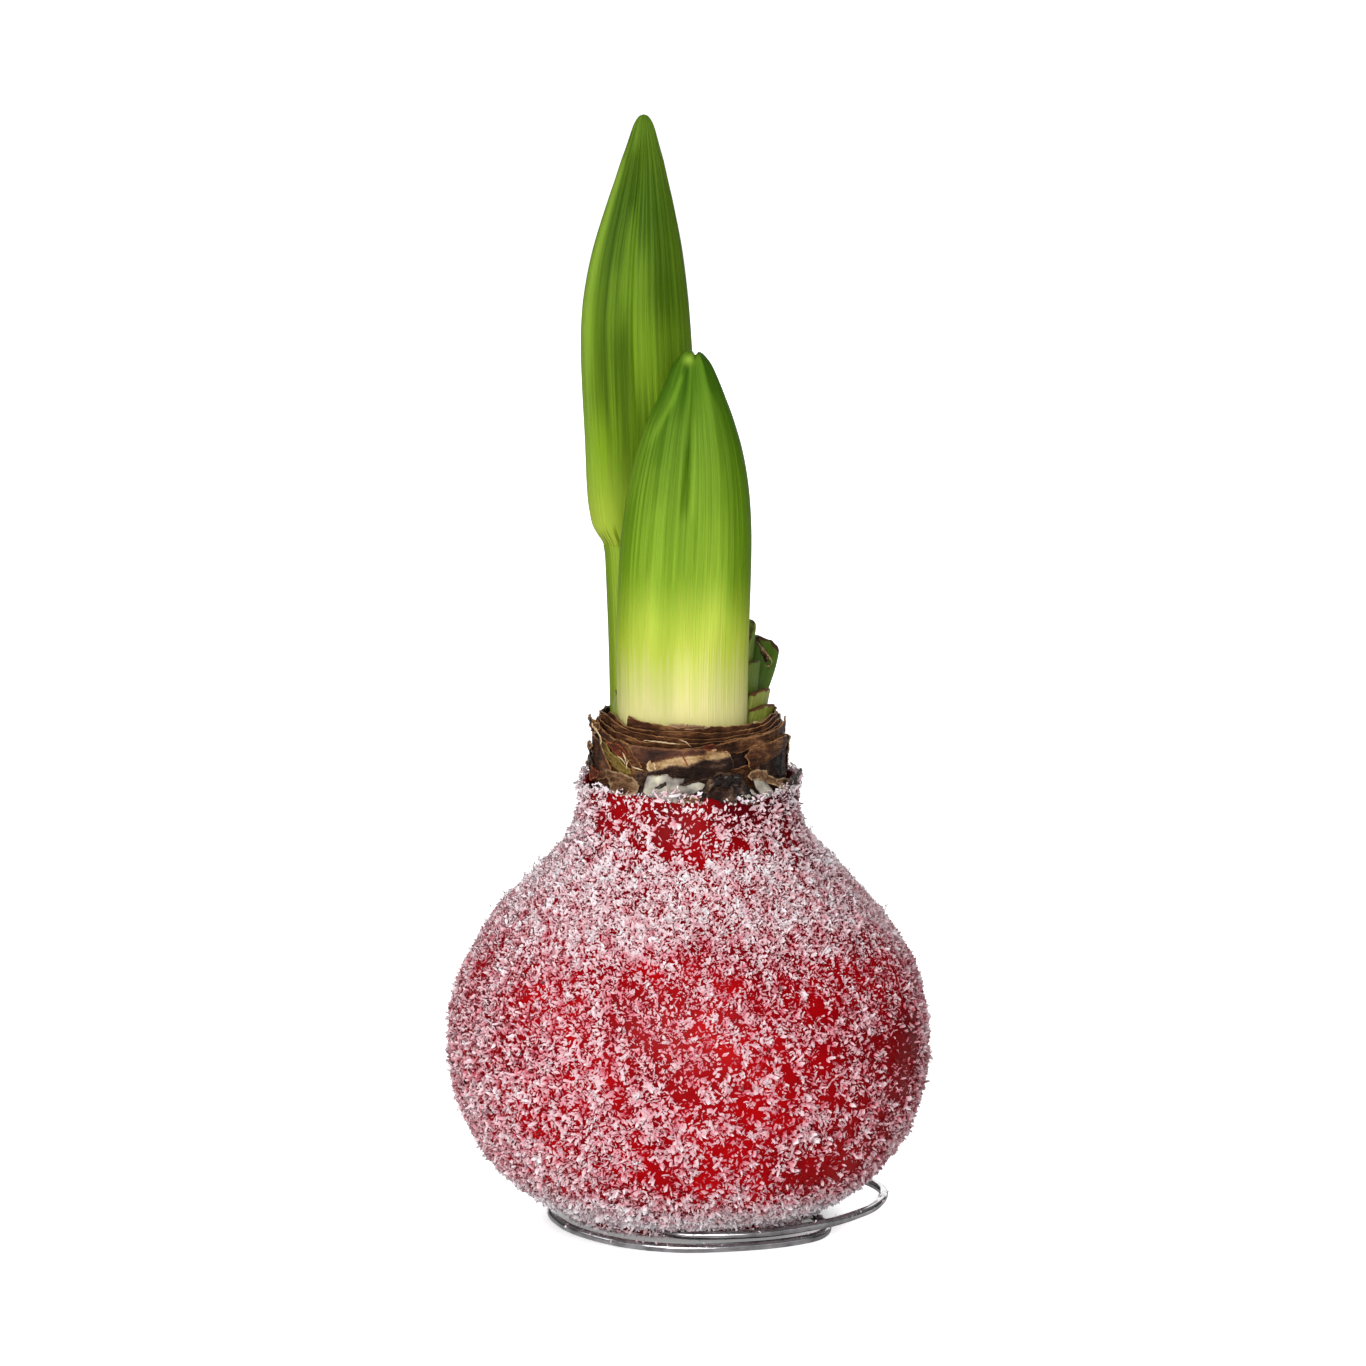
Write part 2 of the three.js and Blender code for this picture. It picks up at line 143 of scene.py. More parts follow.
def grid_faces(rows, columns, closed):
    """Quads between rows of points; closed joins the ends of each row."""
    last = columns if closed else columns - 1
    r, c = (a.ravel() for a in np.meshgrid(range(rows - 1), range(last), indexing="ij"))
    n = (c + 1) % columns
    here, above = r * columns, (r + 1) * columns
    return np.stack([here + c, here + n, above + n, above + c], 1).tolist()


def closed_body(rows):
    """Vertices and faces of rings stacked up, closed by a point at each end."""
    count, columns, _ = rows.shape
    vertices = np.vstack([rows.reshape(-1, 3), rows[0].mean(0), rows[-1].mean(0)])
    faces = grid_faces(count, columns, True)
    foot, tip = len(vertices) - 2, len(vertices) - 1
    top = (count - 1) * columns
    for c in range(columns):
        n = (c + 1) % columns
        faces.append([n, c, foot])
        faces.append([top + c, top + n, tip])
    return vertices, faces


def make_piece(name, vertices, faces, material, slot=None, replaces=()):
    """A smooth mesh from millimetres, which rides with the part."""
    mesh = bpy.data.meshes.new(name)
    mesh.from_pydata((np.asarray(vertices) * MM).tolist(), [], faces)
    mesh.polygons.foreach_set("use_smooth", np.ones(len(mesh.polygons), bool))
    mesh.materials.append(material)
    piece = bpy.data.objects.new(name, mesh)
    bpy.context.collection.objects.link(piece)
    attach(piece, "root")
    if replaces:
        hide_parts(*replaces)
    print(f"{name}: {len(mesh.vertices)} vertices, {len(mesh.polygons)} faces")
    return piece


def give(piece, name, values):
    """Stores a number or a vector at each vertex, for the material to read."""
    values = np.asarray(values, np.float32)
    kind, field = ("FLOAT", "value") if values.ndim == 1 else ("FLOAT_VECTOR", "vector")
    stored = piece.data.attributes.new(name, kind, "POINT")
    stored.data.foreach_set(field, values.ravel())


def thicken(piece, thickness):
    """Gives a thin sheet its real thickness, inward, so that its torn edge can be seen."""
    shell = piece.modifiers.new("thickness", "SOLIDIFY")
    shell.thickness = thickness * MM
    shell.offset = -1


# %% [markdown]
# ## Helpers for materials
#
# A material is a small graph of nodes. Placing each node with one call, with its inputs
# given as numbers or as links, keeps a graph as short as the recipe it stands for. Colours
# are written as red, green and blue from 0 to 255, as a colour picker shows them, and turned
# into the linear values that light is worked out with.

# %% Place nodes and mix colours


def tint(r, g, b):
    """A colour picker's red, green and blue, 0 to 255, as linear light."""
    c = np.array([r, g, b]) / 255
    linear = np.where(c <= 0.04045, c / 12.92, ((c + 0.055) / 1.055) ** 2.4)
    return (*linear.tolist(), 1.0)


def plug(tree, socket, value):
    """Gives an input another node's output, or a plain number or colour."""
    if isinstance(value, bpy.types.NodeSocket):
        tree.links.new(value, socket)
    else:
        socket.default_value = value


def place(tree, kind, inputs=None, **settings):
    """Adds a node. Inputs are numbers, colours or the outputs of other nodes."""
    node = tree.nodes.new("ShaderNode" + kind)
    for name, value in settings.items():
        setattr(node, name, value)
    for key, value in (inputs or {}).items():
        plug(tree, node.inputs[key], value)
    return node


def spot_on(tree):
    """Where a point is on the object, in metres."""
    return place(tree, "TexCoord").outputs["Object"]


def math_node(tree, operation, a, b=0.0, clamp=False):
    node = place(tree, "Math", {0: a, 1: b}, operation=operation, use_clamp=clamp)
    return node.outputs[0]


def span(tree, value, low, high, to_low=0.0, to_high=1.0):
    """Stretches low..high to to_low..to_high and holds it there."""
    inputs = {"Value": value, "From Min": low, "From Max": high}
    inputs.update({"To Min": to_low, "To Max": to_high})
    return place(tree, "MapRange", inputs).outputs[0]


def blend(tree, share, first, second, kind="MIX"):
    inputs = {"Factor": share, "A": first, "B": second}
    node = tree.nodes.new("ShaderNodeMix")
    node.data_type, node.blend_type = "RGBA", kind
    for socket in node.inputs:
        if socket.name in inputs and (socket.type == "RGBA" or socket.identifier == "Factor_Float"):
            plug(tree, socket, inputs[socket.name])
    return next(s for s in node.outputs if s.type == "RGBA")


def ramp(tree, value, stops):
    """A colour ramp; stops are (position, colour)."""
    node = place(tree, "ValToRGB", {"Fac": value})
    elements = node.color_ramp.elements
    while len(elements) < len(stops):
        elements.new(0.5)
    for element, (position, _) in zip(elements, stops, strict=True):
        element.position = position
    for element, (_, colour) in zip(elements, stops, strict=True):
        element.color = colour
    return node.outputs["Color"]


def attribute(tree, name, output="Fac"):
    node = place(tree, "Attribute", attribute_name=name)
    return node.outputs[output]


def make_group(name, inputs, outputs):
    """A node group with named inputs (name, socket kind, value) and outputs."""
    tree = bpy.data.node_groups.new(name, "ShaderNodeTree")
    for label, kind, value in inputs:
        socket = tree.interface.new_socket(label, in_out="INPUT", socket_type="NodeSocket" + kind)
        if value is not None:
            socket.default_value = value
    for label, kind in outputs:
        tree.interface.new_socket(label, in_out="OUTPUT", socket_type="NodeSocket" + kind)
    return tree, tree.nodes.new("NodeGroupInput"), tree.nodes.new("NodeGroupOutput")


def use_group(tree, shared, **inputs):
    node = tree.nodes.new("ShaderNodeGroup")
    node.node_tree = shared
    for key, value in inputs.items():
        plug(tree, node.inputs[key], value)
    return node.outputs


def make_material(name, **constants):
    """A material with a Principled shader, whose plain numbers are set on its own sockets."""
    material = bpy.data.materials.new(name)
    material.use_nodes = True
    shader = material.node_tree.nodes["Principled BSDF"]
    for key, value in constants.items():
        shader.inputs[key.replace("_", " ")].default_value = value
    return material, material.node_tree, shader


def bump_from(tree, shader, height, distance):
    """Bumps as deep as distance, in millimetres."""
    bump = place(tree, "Bump", {"Height": height, "Distance": distance * MM, "Strength": 1.0})
    tree.links.new(bump.outputs["Normal"], shader.inputs["Normal"])


def feed(tree, shader, name, value):
    tree.links.new(value, shader.inputs[name])


# %% [markdown]
# ## Three effects that several materials share
#
# - Streaks: leaves, buds and papery skins all have fibres that run one way. Noise that is
#   stretched along the fibres gives them, and it follows each piece because it reads
#   coordinates that the piece carries.
# - Mottle: wax, flakes and skins vary in colour from place to place, coarsely and finely.
# - Dried rim: where a leaf was cut it dries brown, in a line that wanders.

# %% Streaks along a grain
streaks, inside, result = make_group(
    "streaks",
    [("Grain", "Vector", None), ("Across", "Float", 20.0), ("Along", "Float", 1.0)],
    [("Streak", "Float"), ("Fine", "Float")],
)
stretch = place(
    streaks,
    "CombineXYZ",
    {"X": inside.outputs["Across"], "Y": inside.outputs["Across"], "Z": inside.outputs["Along"]},
)
stretched = place(
    streaks,
    "VectorMath",
    {0: inside.outputs["Grain"], 1: stretch.outputs[0]},
    operation="MULTIPLY",
).outputs[0]
broad = place(streaks, "TexNoise", {"Vector": stretched, "Scale": 1.0, "Detail": 2.0})
thin = place(streaks, "TexNoise", {"Vector": stretched, "Scale": 4.3, "Detail": 3.0})
streaks.links.new(span(streaks, broad.outputs[0], 0.3, 0.7), result.inputs["Streak"])
streaks.links.new(span(streaks, thin.outputs[0], 0.3, 0.7), result.inputs["Fine"])
print("shared effect:", streaks.name)

# %% Mottle, coarse and fine
mottle, inside, result = make_group(
    "mottle",
    [("Place", "Vector", None), ("Size", "Float", 100.0)],
    [("Coarse", "Float"), ("Fine", "Float")],
)
finer = math_node(mottle, "MULTIPLY", inside.outputs["Size"], 5.0)
for label, size, detail in (("Coarse", inside.outputs["Size"], 2.0), ("Fine", finer, 3.0)):
    spots = place(
        mottle, "TexNoise", {"Vector": inside.outputs["Place"], "Scale": size, "Detail": detail}
    )
    mottle.links.new(span(mottle, spots.outputs[0], 0.3, 0.7), result.inputs[label])
print("shared effect:", mottle.name)

# %% A dried rim with a wandering edge
dried_rim, inside, result = make_group(
    "dried_rim",
    [("From Cut", "Float", 0.0), ("Place", "Vector", None), ("Reach", "Float", 0.4)],
    [("Dry", "Float")],
)
wander = place(dried_rim, "TexNoise", {"Vector": inside.outputs["Place"], "Scale": 700.0})
strayed = span(dried_rim, wander.outputs[0], 0.3, 0.7, -0.3, 0.3)
depth = math_node(dried_rim, "ADD", inside.outputs["From Cut"], strayed)
short = math_node(dried_rim, "SUBTRACT", inside.outputs["Reach"], depth)
dried_rim.links.new(span(dried_rim, short, -0.15, 0.15), result.inputs["Dry"])
print("shared effect:", dried_rim.name)

# %% A material made of mottle alone


def mottled_material(name, size, colours, roughness, bump, **constants):
    """Colour from the coarse mottle, by (share, colour), roughness and bump from the fine."""
    material, nodes, shader = make_material(name, **constants)
    spots = use_group(nodes, mottle, Place=spot_on(nodes), Size=size)
    shades = [(share, tint(*colour)) for share, colour in colours]
    feed(nodes, shader, "Base Color", ramp(nodes, spots["Coarse"], shades))
    feed(nodes, shader, "Roughness", span(nodes, spots["Fine"], 0, 1, *roughness))
    bump_from(nodes, shader, spots["Fine"], bump)
    return material


# %% [markdown]
# ## Red wax
#
# The wax is a skin about 2 mm thick, glossy where it shows between the flakes. Its outline
# is the solid's own, made finer, with the slow lumps of a hand-dipped coat and a rim that
# wanders where the dip ended. Revolving a curve is the direct way to get such a body.

# %% Wax outline and surface
WAX_OUTLINE = [
    (25.2, 4.4), (28.4, 5.6), (33.2, 8.2), (38.1, 12.4), (42.8, 19.4), (45.8, 28.0),
    (46.8, 36.0), (45.9, 44.5), (43.0, 53.0), (36.8, 62.8), (28.6, 71.4), (23.6, 77.6),
    (21.6, 82.6), (21.3, 88.3),
]  # fmt: skip
SWELL = 0.011  # how far the belly is from round, as a share of its radius
wax_curve = curve_through(WAX_OUTLINE, 600)
wax_along = np.concatenate([[0], np.cumsum(np.linalg.norm(np.diff(wax_curve, axis=0), axis=1))])
wax_length = wax_along[-1]


def wax_surface(angle, along):
    """Points on the wax's outside, and the way each faces, at a distance up its outline."""
    r, z = (np.interp(along, wax_along, wax_curve[:, k]) for k in (0, 1))
    ahead, behind = along + 0.4, along - 0.4
    dr, dz = (
        np.interp(ahead, wax_along, wax_curve[:, k]) - np.interp(behind, wax_along, wax_curve[:, k])
        for k in (0, 1)
    )
    belly = fade(z, 8, 26) * (1 - fade(z, 58, 78))
    r = r * (1 + SWELL * belly * (np.cos(2 * angle + 0.9) + 0.5 * np.cos(3 * angle + 2.2)))
    facing = around(dz, angle, -dr)
    facing /= np.linalg.norm(facing, axis=-1)[..., None]
    points = around(r, angle, z)
    lumps = 0.18 * ripple(points, 14, 3) + 0.05 * ripple(points, 4.5, 4)
    rim = fade(z, 83, 88.3)
    points = points + facing * (lumps * (1 - rim))[..., None]
    points[..., 2] += rim * (0.7 * np.sin(3 * angle + 1.0) + 0.4 * np.sin(7 * angle) - 0.3)
    return points, facing


print("wax outline is", round(float(wax_length), 1), "mm long")

# %% Wax material
red_wax, nodes, shader = make_material("red_wax", Specular_IOR_Level=0.05)
spot = spot_on(nodes)
blotch = use_group(nodes, mottle, Place=spot, Size=60.0)
bare_wax = attribute(nodes, "bare")
# Where flakes lie the wax gets a darker red than bare wax: painted shade between the flakes.
shaded_under_snow = ramp(nodes, blotch["Coarse"], [(0.0, tint(112, 0, 10)), (1.0, tint(146, 0, 12))])
shown = ramp(nodes, blotch["Coarse"], [(0.0, tint(136, 0, 6)), (1.0, tint(186, 2, 8))])
crimson = blend(nodes, bare_wax, shaded_under_snow, shown)
at = place(nodes, "SeparateXYZ", {"Vector": spot}).outputs
# Painted shade darkens the wax on the neck, under the flaps at the rim and low on the right side,
# where light falls off.
neck_shade = span(nodes, at["Z"], 0.07, 0.082, 0, 0.38)
near_rim = span(nodes, at["Z"], 0.075, 0.084, 0, 0.9)
flap_shadow = math_node(nodes, "MULTIPLY", near_rim, span(nodes, at["X"], -0.001, 0.008))
right_side_shade = span(nodes, at["X"], 0.012, 0.04, 0, 0.45)
below = span(nodes, at["Z"], 0.044, 0.056, 1, 0)
painted_shade = math_node(nodes, "MAXIMUM", math_node(nodes, "MULTIPLY", right_side_shade, below), neck_shade)
painted_shade = math_node(nodes, "MAXIMUM", painted_shade, flap_shadow)
# The painted shade mixes the red towards a deep crimson.
feed(nodes, shader, "Base Color", blend(nodes, painted_shade, crimson, tint(66, 0, 6)))
feed(nodes, shader, "Roughness", span(nodes, blotch["Fine"], 0, 1, 0.32, 0.5))
bump_from(nodes, shader, blotch["Fine"], 0.05)

# %% Wax coat
AROUND = 200
WAX_THICKNESS = 2
SOCKET_RADIUS = 20.3  # the rim's inside
BULB_RADIUS, BULB_FOOT = 18, 5.5  # the least that the wax leaves free
turn = np.linspace(0, 2 * np.pi, AROUND, endpoint=False)
up = np.linspace(0, wax_length, 120)
skin = wax_surface(*np.meshgrid(turn, up))[0]
lining = wax_surface(*np.meshgrid(turn, np.linspace(0, 0.97 * wax_length, 16)))[0]
outside = np.linalg.norm(lining[..., :2], axis=-1)
lining[..., :2] *= (np.maximum(outside - WAX_THICKNESS, BULB_RADIUS) / outside)[..., None]
lining[..., 2] = np.maximum(lining[..., 2], BULB_FOOT)
rim_in = skin[-1].copy()
rim_in[:, :2] *= SOCKET_RADIUS / np.linalg.norm(rim_in[:, :2], axis=1)[:, None]
rim_top = (skin[-1] + rim_in) / 2 + (0, 0, 0.35)
FOOT = [(8, 2.1), (23.5, 2.1), (24.5, 2.6), (24.9, 3.4)]  # radius, height
foot = [around(np.full(AROUND, r), turn, z) for r, z in FOOT]
hollow = around(np.full(AROUND, 9.0), turn, BULB_FOOT)
rows = np.stack([*foot, *skin, rim_top, rim_in, *lining[::-1], hollow])
wax_coat = make_piece(
    "wax_coat_skin", *closed_body(rows), red_wax, slot="red_wax", replaces=("wax_coat",)
)

# %% [markdown]
# ## Flakes of artificial snow
#
# The real flakes are thin curled shavings, 0.6 to 1.6 mm long, that stuck where they landed
# while the wax was soft, with smaller chips among them. Scattered instances or hair would be
# lost when the part is saved, so each flake is a little bent strip or chip of real mesh. How
# thickly they lie is set by a mask: a level for each height, ripples, and round patches that
# are bare or buried. A few hundred heaps stand proud of the rest, mostly on the shoulder.

# %% Where flakes lie
BARE = [  # angle, height, radius of a patch that shows the wax, or below 0 of one that is buried
    (-127, 84.5, 2.3), (-89, 83, 1.5), (-122, 77, 1.9), (-86, 77.5, 2.9), (-64, 79, 1.6),
    (-104, 81, 1.3),
    (-104, 58.5, 3.2), (-88, 59, 3.8), (-88, 48, 1.0), (-56, 49, 2.0), (-80, 41, 2.0),
    (-58, 41, 2.6), (-28, 40, 6.4), (-88, 34, 2.8), (-77, 32, 3.2), (-56, 33, 1.8), (-30, 31, 4.6),
    (-108, 36, 1.8), (-78, 25, 2.6), (-98, 18, 2.8), (-86, 17, 2.6), (-58, 17, 4.0), (-46, 18, 4.6),
    (-70, 18, 1.8), (-78, 49, -3.2), (-100, 30, -2.2), (-58, 25, -2.4), (-42, 47, -2.4),
    (-92, 67, -3.0),
    (30, 40, 3.0), (75, 30, 3.2), (120, 45, 3.0), (160, 24, 2.6), (100, 60, 2.0),
]  # fmt: skip


def snow_cover(points):
    """How thickly the flakes lie at points on the wax, from 0 to 1."""
    x, y, z = points[:, 0], points[:, 1], points[:, 2]
    turn = np.degrees(np.arctan2(y, x))
    shoulder = fade(z, 52, 66) * (1 - fade(z, 71, 79))
    foot = 1 - fade(z, 6, 14)
    level = 0.335 + 0.415 * shoulder + 0.52 * foot - 0.085 * fade(z, 78, 85)
    side = bell(turn, -150, 45) - bell(turn, -45, 42) - 0.5 * bell(turn, -90, 30)
    level = level + 0.08 * side * (1 - 0.8 * shoulder) * (1 - foot)
    cover = (
        level
        + 0.07 * ripple(points, 11, 11)
        + 0.09 * ripple(points, 3.4, 12)
        + 0.09 * ripple(points, 1.6, 14)
    )
    wander = 1.1 * ripple(points, 3, 13)
    for at, height, radius in BARE:
        middle = wax_surface(np.radians([at]), np.interp([height], wax_curve[:, 1], wax_along))[0]
        gone = np.linalg.norm(points - middle, axis=1) + wander
        bared = 1 - fade(gone, abs(radius) * 0.3, abs(radius) * 1.7)
        cover -= 0.25 * np.sign(radius) * bared * (1 - 0.6 * foot)
    return np.clip(cover, 0.05, 1.1)


on_skin = np.array([v.co for v in wax_coat.data.vertices]) / MM
give(wax_coat, "bare", fade(1 - snow_cover(on_skin), 0.45, 0.85))

# %% Scatter them over the skin
FLAKES_PER_MM2 = 14.0
rng = np.random.default_rng(7)
strip = wax_curve[:, 0]
swept = np.concatenate([[0], np.cumsum((strip[1:] + strip[:-1]) / 2 * np.diff(wax_along))])
area = 2 * np.pi * swept[-1]
tries = int(area * FLAKES_PER_MM2)
along = np.interp(rng.uniform(0, swept[-1], tries), swept, wax_along)
angle = rng.uniform(-np.pi, np.pi, tries)
landed, facing = wax_surface(angle, along)
cover = snow_cover(landed)
kept = rng.uniform(0, 1, tries) < cover
landed, facing, cover = landed[kept], facing[kept], cover[kept]
print("wax area", round(area), "mm2, flakes on it", len(landed))

# %% Heaps that stand proud
HEAPS = 640
heap_along = wax_length * rng.beta(3.2, 1.9, HEAPS)
heap_angle = rng.uniform(-np.pi, np.pi, HEAPS)
heap_at, heap_facing = wax_surface(heap_angle, heap_along)
keep = rng.uniform(0, 1, HEAPS) < snow_cover(heap_at)
heap_at, heap_facing = heap_at[keep], heap_facing[keep]
in_heap = rng.integers(10, 32, len(heap_at))
which = np.repeat(np.arange(len(heap_at)), in_heap)
spread = rng.normal(0, 0.55, (len(which), 3)) * rng.uniform(0.6, 1.5, len(heap_at))[which][:, None]
stacked = (
    heap_at[which]
    + spread
    - heap_facing[which] * (spread * heap_facing[which]).sum(1)[:, None]
)
lift = np.concatenate(
    [
        rng.uniform(0, 0.3, len(landed)) * (0.3 + cover),
        np.clip(1.35 - np.linalg.norm(spread, axis=1), 0, 2) * rng.uniform(0.2, 1.0, len(which))
        * (1 + 0.7 * fade(stacked[:, 2], 50, 64) * (1 - fade(stacked[:, 2], 76, 82))),
    ]
)
landed = np.vstack([landed, stacked])
facing = np.vstack([facing, heap_facing[which]])
print("heaps:", len(heap_at), "with", len(which), "flakes")

# %% Flakes on the rim and under the foot
RIM_FLAKES, FOOT_FLAKES = 1900, 3400
RIM_GAPS = [(0.95, -76, 14), (0.5, -100, 12), (0.6, -127, 12)]  # share gone, angle, width
rim_turn = rng.uniform(-180, 180, RIM_FLAKES)
scarce = sum(share * bell(rim_turn, at, wide) for share, at, wide in RIM_GAPS)
rim_turn = rim_turn[rng.uniform(0, 1, RIM_FLAKES) > scarce]
heaped = np.abs(rng.normal(0, 0.6, len(rim_turn)))
heaped = heaped * (1 + 0.5 * ripple(around(20, np.radians(rim_turn), 0.0), 5, 15))
rim_level = wax_surface(np.radians(rim_turn), np.full(len(rim_turn), wax_length))[0][:, 2] - 0.3
rim_out = rng.uniform(20.5, 21.8, len(rim_turn))
on_rim = around(rim_out, np.radians(rim_turn), rim_level + heaped.clip(0, 1.7))
landed = np.vstack([landed, on_rim])
facing = np.vstack([facing, around(0.8, np.radians(rim_turn), 0.6)])
foot_turn = rng.uniform(-np.pi, np.pi, FOOT_FLAKES)
foot_out = rng.uniform(22.5, 27.5, FOOT_FLAKES)
under_foot = around(foot_out, foot_turn, 2.3 + 2.6 * fade(foot_out, 23.5, 27.5) - 0.25)
landed = np.vstack([landed, under_foot])
facing = np.vstack([facing, around(0.6, foot_turn, -0.8)])
lift = np.concatenate([lift, rng.uniform(0, 0.5, len(rim_turn)), rng.uniform(0, 0.2, FOOT_FLAKES)])
# How thickly the snow lies also sets how white the flakes are painted, with extra on the shoulder,
# the neck and the rim. At the foot the extra whiteness is a painted lift against the shade under
# the bulb.
thick = (
    snow_cover(landed)
    + 0.5 * fade(landed[:, 2], 64, 78)
    + 0.4 * (1 - fade(landed[:, 2], 6, 14))
)
thick += 0.6 * fade(landed[:, 2], 84, 87)
print("flakes in all:", len(landed))

# %% Bend each flake into a shaving or a crumb


def set_down(at, facing, lift, length, rng):
    """Where a flake's middle is and its own three directions: along, across and out."""
    count = len(at)
    spin = np.cross(facing, rng.normal(size=(count, 3)))
    spin /= np.linalg.norm(spin, axis=1)[:, None]
    other = np.cross(facing, spin)
    pitch = np.radians(rng.triangular(0, 10, 70, count))[:, None]
    roll = np.radians(rng.uniform(-50, 50, count))[:, None]
    run = np.cos(pitch) * spin + np.sin(pitch) * facing
    out = np.cos(pitch) * facing - np.sin(pitch) * spin
    side = np.cos(roll) * other + np.sin(roll) * out
    middle = at + facing * (lift + 0.36 * length * np.sin(pitch[:, 0]))[:, None]
    return middle, run, side, np.cos(roll) * out - np.sin(roll) * other


def shavings(at, facing, lift, length, rng):
    """Curled strips, six points each in three pairs."""
    middle, run, side, out = set_down(at, facing, lift, length, rng)
    count = len(at)
    width = length * rng.uniform(0.24, 0.6, count)
    curl = length * rng.uniform(-0.12, 0.4, count)
    skew = rng.uniform(-0.4, 0.4, count)
    points = []
    narrow = (rng.uniform(0.1, 0.8, count), np.ones(count), rng.uniform(0.05, 0.7, count))
    for step, share in zip((-0.5, 0, 0.5), narrow, strict=True):
        spine = middle + run * (step * length)[:, None] + out * (2 * step * step * curl)[:, None]
        spine = spine + side * (width * step * skew)[:, None]
        half = side * (width * share * 0.5)[:, None]
        points += [spine - half, spine + half]
    return np.stack(points, 1)


def crumbs(at, facing, lift, length, rng):
    """Bent chips, four points each."""
    middle, run, side, out = set_down(at, facing, lift, length, rng)
    width = length * rng.uniform(0.4, 0.85, len(at))
    points = []
    for along, across in ((-0.5, -0.5), (0.5, -0.5), (0.5, 0.5), (-0.5, 0.5)):
        corner = middle + run * (along * length * rng.uniform(0.5, 1.2, len(at)))[:, None]
        corner = corner + side * (across * width * rng.uniform(0.4, 1.2, len(at)))[:, None]
        points.append(corner + out * (length * rng.uniform(-0.25, 0.25, len(at)))[:, None])
    return np.stack(points, 1)


def flake_piece(name, groups, material):
    """One piece from groups of flakes; its map gives each flake a cell of its own."""
    total = sum(len(points) for points, *_ in groups)
    cells = int(np.ceil(np.sqrt(total)))
    vertices, loops, maps, proud, softened, start, number = [], [], [], [], [], 0, 0
    for points, at, facing, thick in groups:
        count, corners, _ = points.shape
        quads = [[0, 2, 3, 1], [2, 4, 5, 3]] if corners == 6 else [[0, 1, 2, 3]]
        spots = [(0, 0), (0, 1), (0.5, 0), (0.5, 1), (1, 0), (1, 1)]
        spots = spots if corners == 6 else [(0, 0), (1, 0), (1, 1), (0, 1)]
        vertices.append(points.reshape(-1, 3))
        loops.append((start + np.arange(count)[:, None, None] * corners + quads).reshape(-1))
        placed = number + np.arange(count)
        cell = np.stack([placed % cells, placed // cells], 1)
        inner = 0.12 + 0.76 * np.array(spots)[np.array(quads).ravel()]
        maps.append((cell[:, None] + inner).reshape(-1, 2) / cells)
        # How far a flake stands from the wax, plus half how thickly the snow lies, later sets how
        # much painted shade it gets.
        rise = ((points - at[:, None]) * facing[:, None]).sum(-1)
        proud.append((rise + 0.5 * thick[:, None]).ravel())
        flat = np.cross(points[:, 2] - points[:, 0], points[:, 1] - points[:, 0])
        flat /= np.linalg.norm(flat, axis=1)[:, None]
        flat *= np.sign((flat * facing).sum(1))[:, None]
        softened.append(np.repeat(flat + 0.3 * facing, corners, axis=0))
        start, number = start + count * corners, number + count
    loops, vertices = np.concatenate(loops), np.concatenate(vertices)
    mesh = bpy.data.meshes.new(name)
    mesh.vertices.add(len(vertices))
    mesh.vertices.foreach_set("co", (vertices * MM).astype(np.float32).ravel())
    mesh.loops.add(len(loops))
    mesh.loops.foreach_set("vertex_index", loops.astype(np.int32))
    mesh.polygons.add(len(loops) // 4)
    mesh.polygons.foreach_set("loop_start", np.arange(0, len(loops), 4, dtype=np.int32))
    mesh.polygons.foreach_set("use_smooth", np.ones(len(loops) // 4, bool))
    mesh.update()
    mesh.uv_layers.new(name="OFBake").uv.foreach_set(
        "vector", np.concatenate(maps).astype(np.float32).ravel()
    )
    softened = np.vstack(softened)
    softened /= np.linalg.norm(softened, axis=1)[:, None]
    mesh.normals_split_custom_set_from_vertices(softened)
    mesh.materials.append(material)
    piece = bpy.data.objects.new(name, mesh)
    bpy.context.collection.objects.link(piece)
    give(piece, "proud", np.concatenate(proud))
    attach(piece, "root")
    print(f"{name}: {total} flakes, {len(loops) // 2} triangles")
    return piece


# %% Snow material
snow, nodes, shader = make_material("snow_flakes", Specular_IOR_Level=0.25)
speck = use_group(nodes, mottle, Place=spot_on(nodes), Size=420.0)
# The flakes are white. They are painted pinker and darker near the wax and whiter as they rise:
# painted shade and red light bounced from the wax. The speckle is their own varying tone.
rise = span(nodes, attribute(nodes, "proud"), 0.1, 1.4)
painted_shade_by_rise = math_node(nodes, "MULTIPLY", rise, 0.7)
by_speck = math_node(nodes, "MULTIPLY", speck["Coarse"], 0.45)
whiteness_and_painted_shade = math_node(nodes, "ADD", painted_shade_by_rise, by_speck)
PINK_TO_WHITE = [(0.05, (186, 36, 56)), (0.25, (222, 126, 140)), (0.5, (234, 190, 197))]
PINK_TO_WHITE.append((0.9, (247, 240, 243)))
frost = ramp(nodes, whiteness_and_painted_shade, [(share, tint(*colour)) for share, colour in PINK_TO_WHITE])
feed(nodes, shader, "Base Color", frost)
feed(nodes, shader, "Roughness", span(nodes, speck["Fine"], 0, 1, 0.4, 0.75))

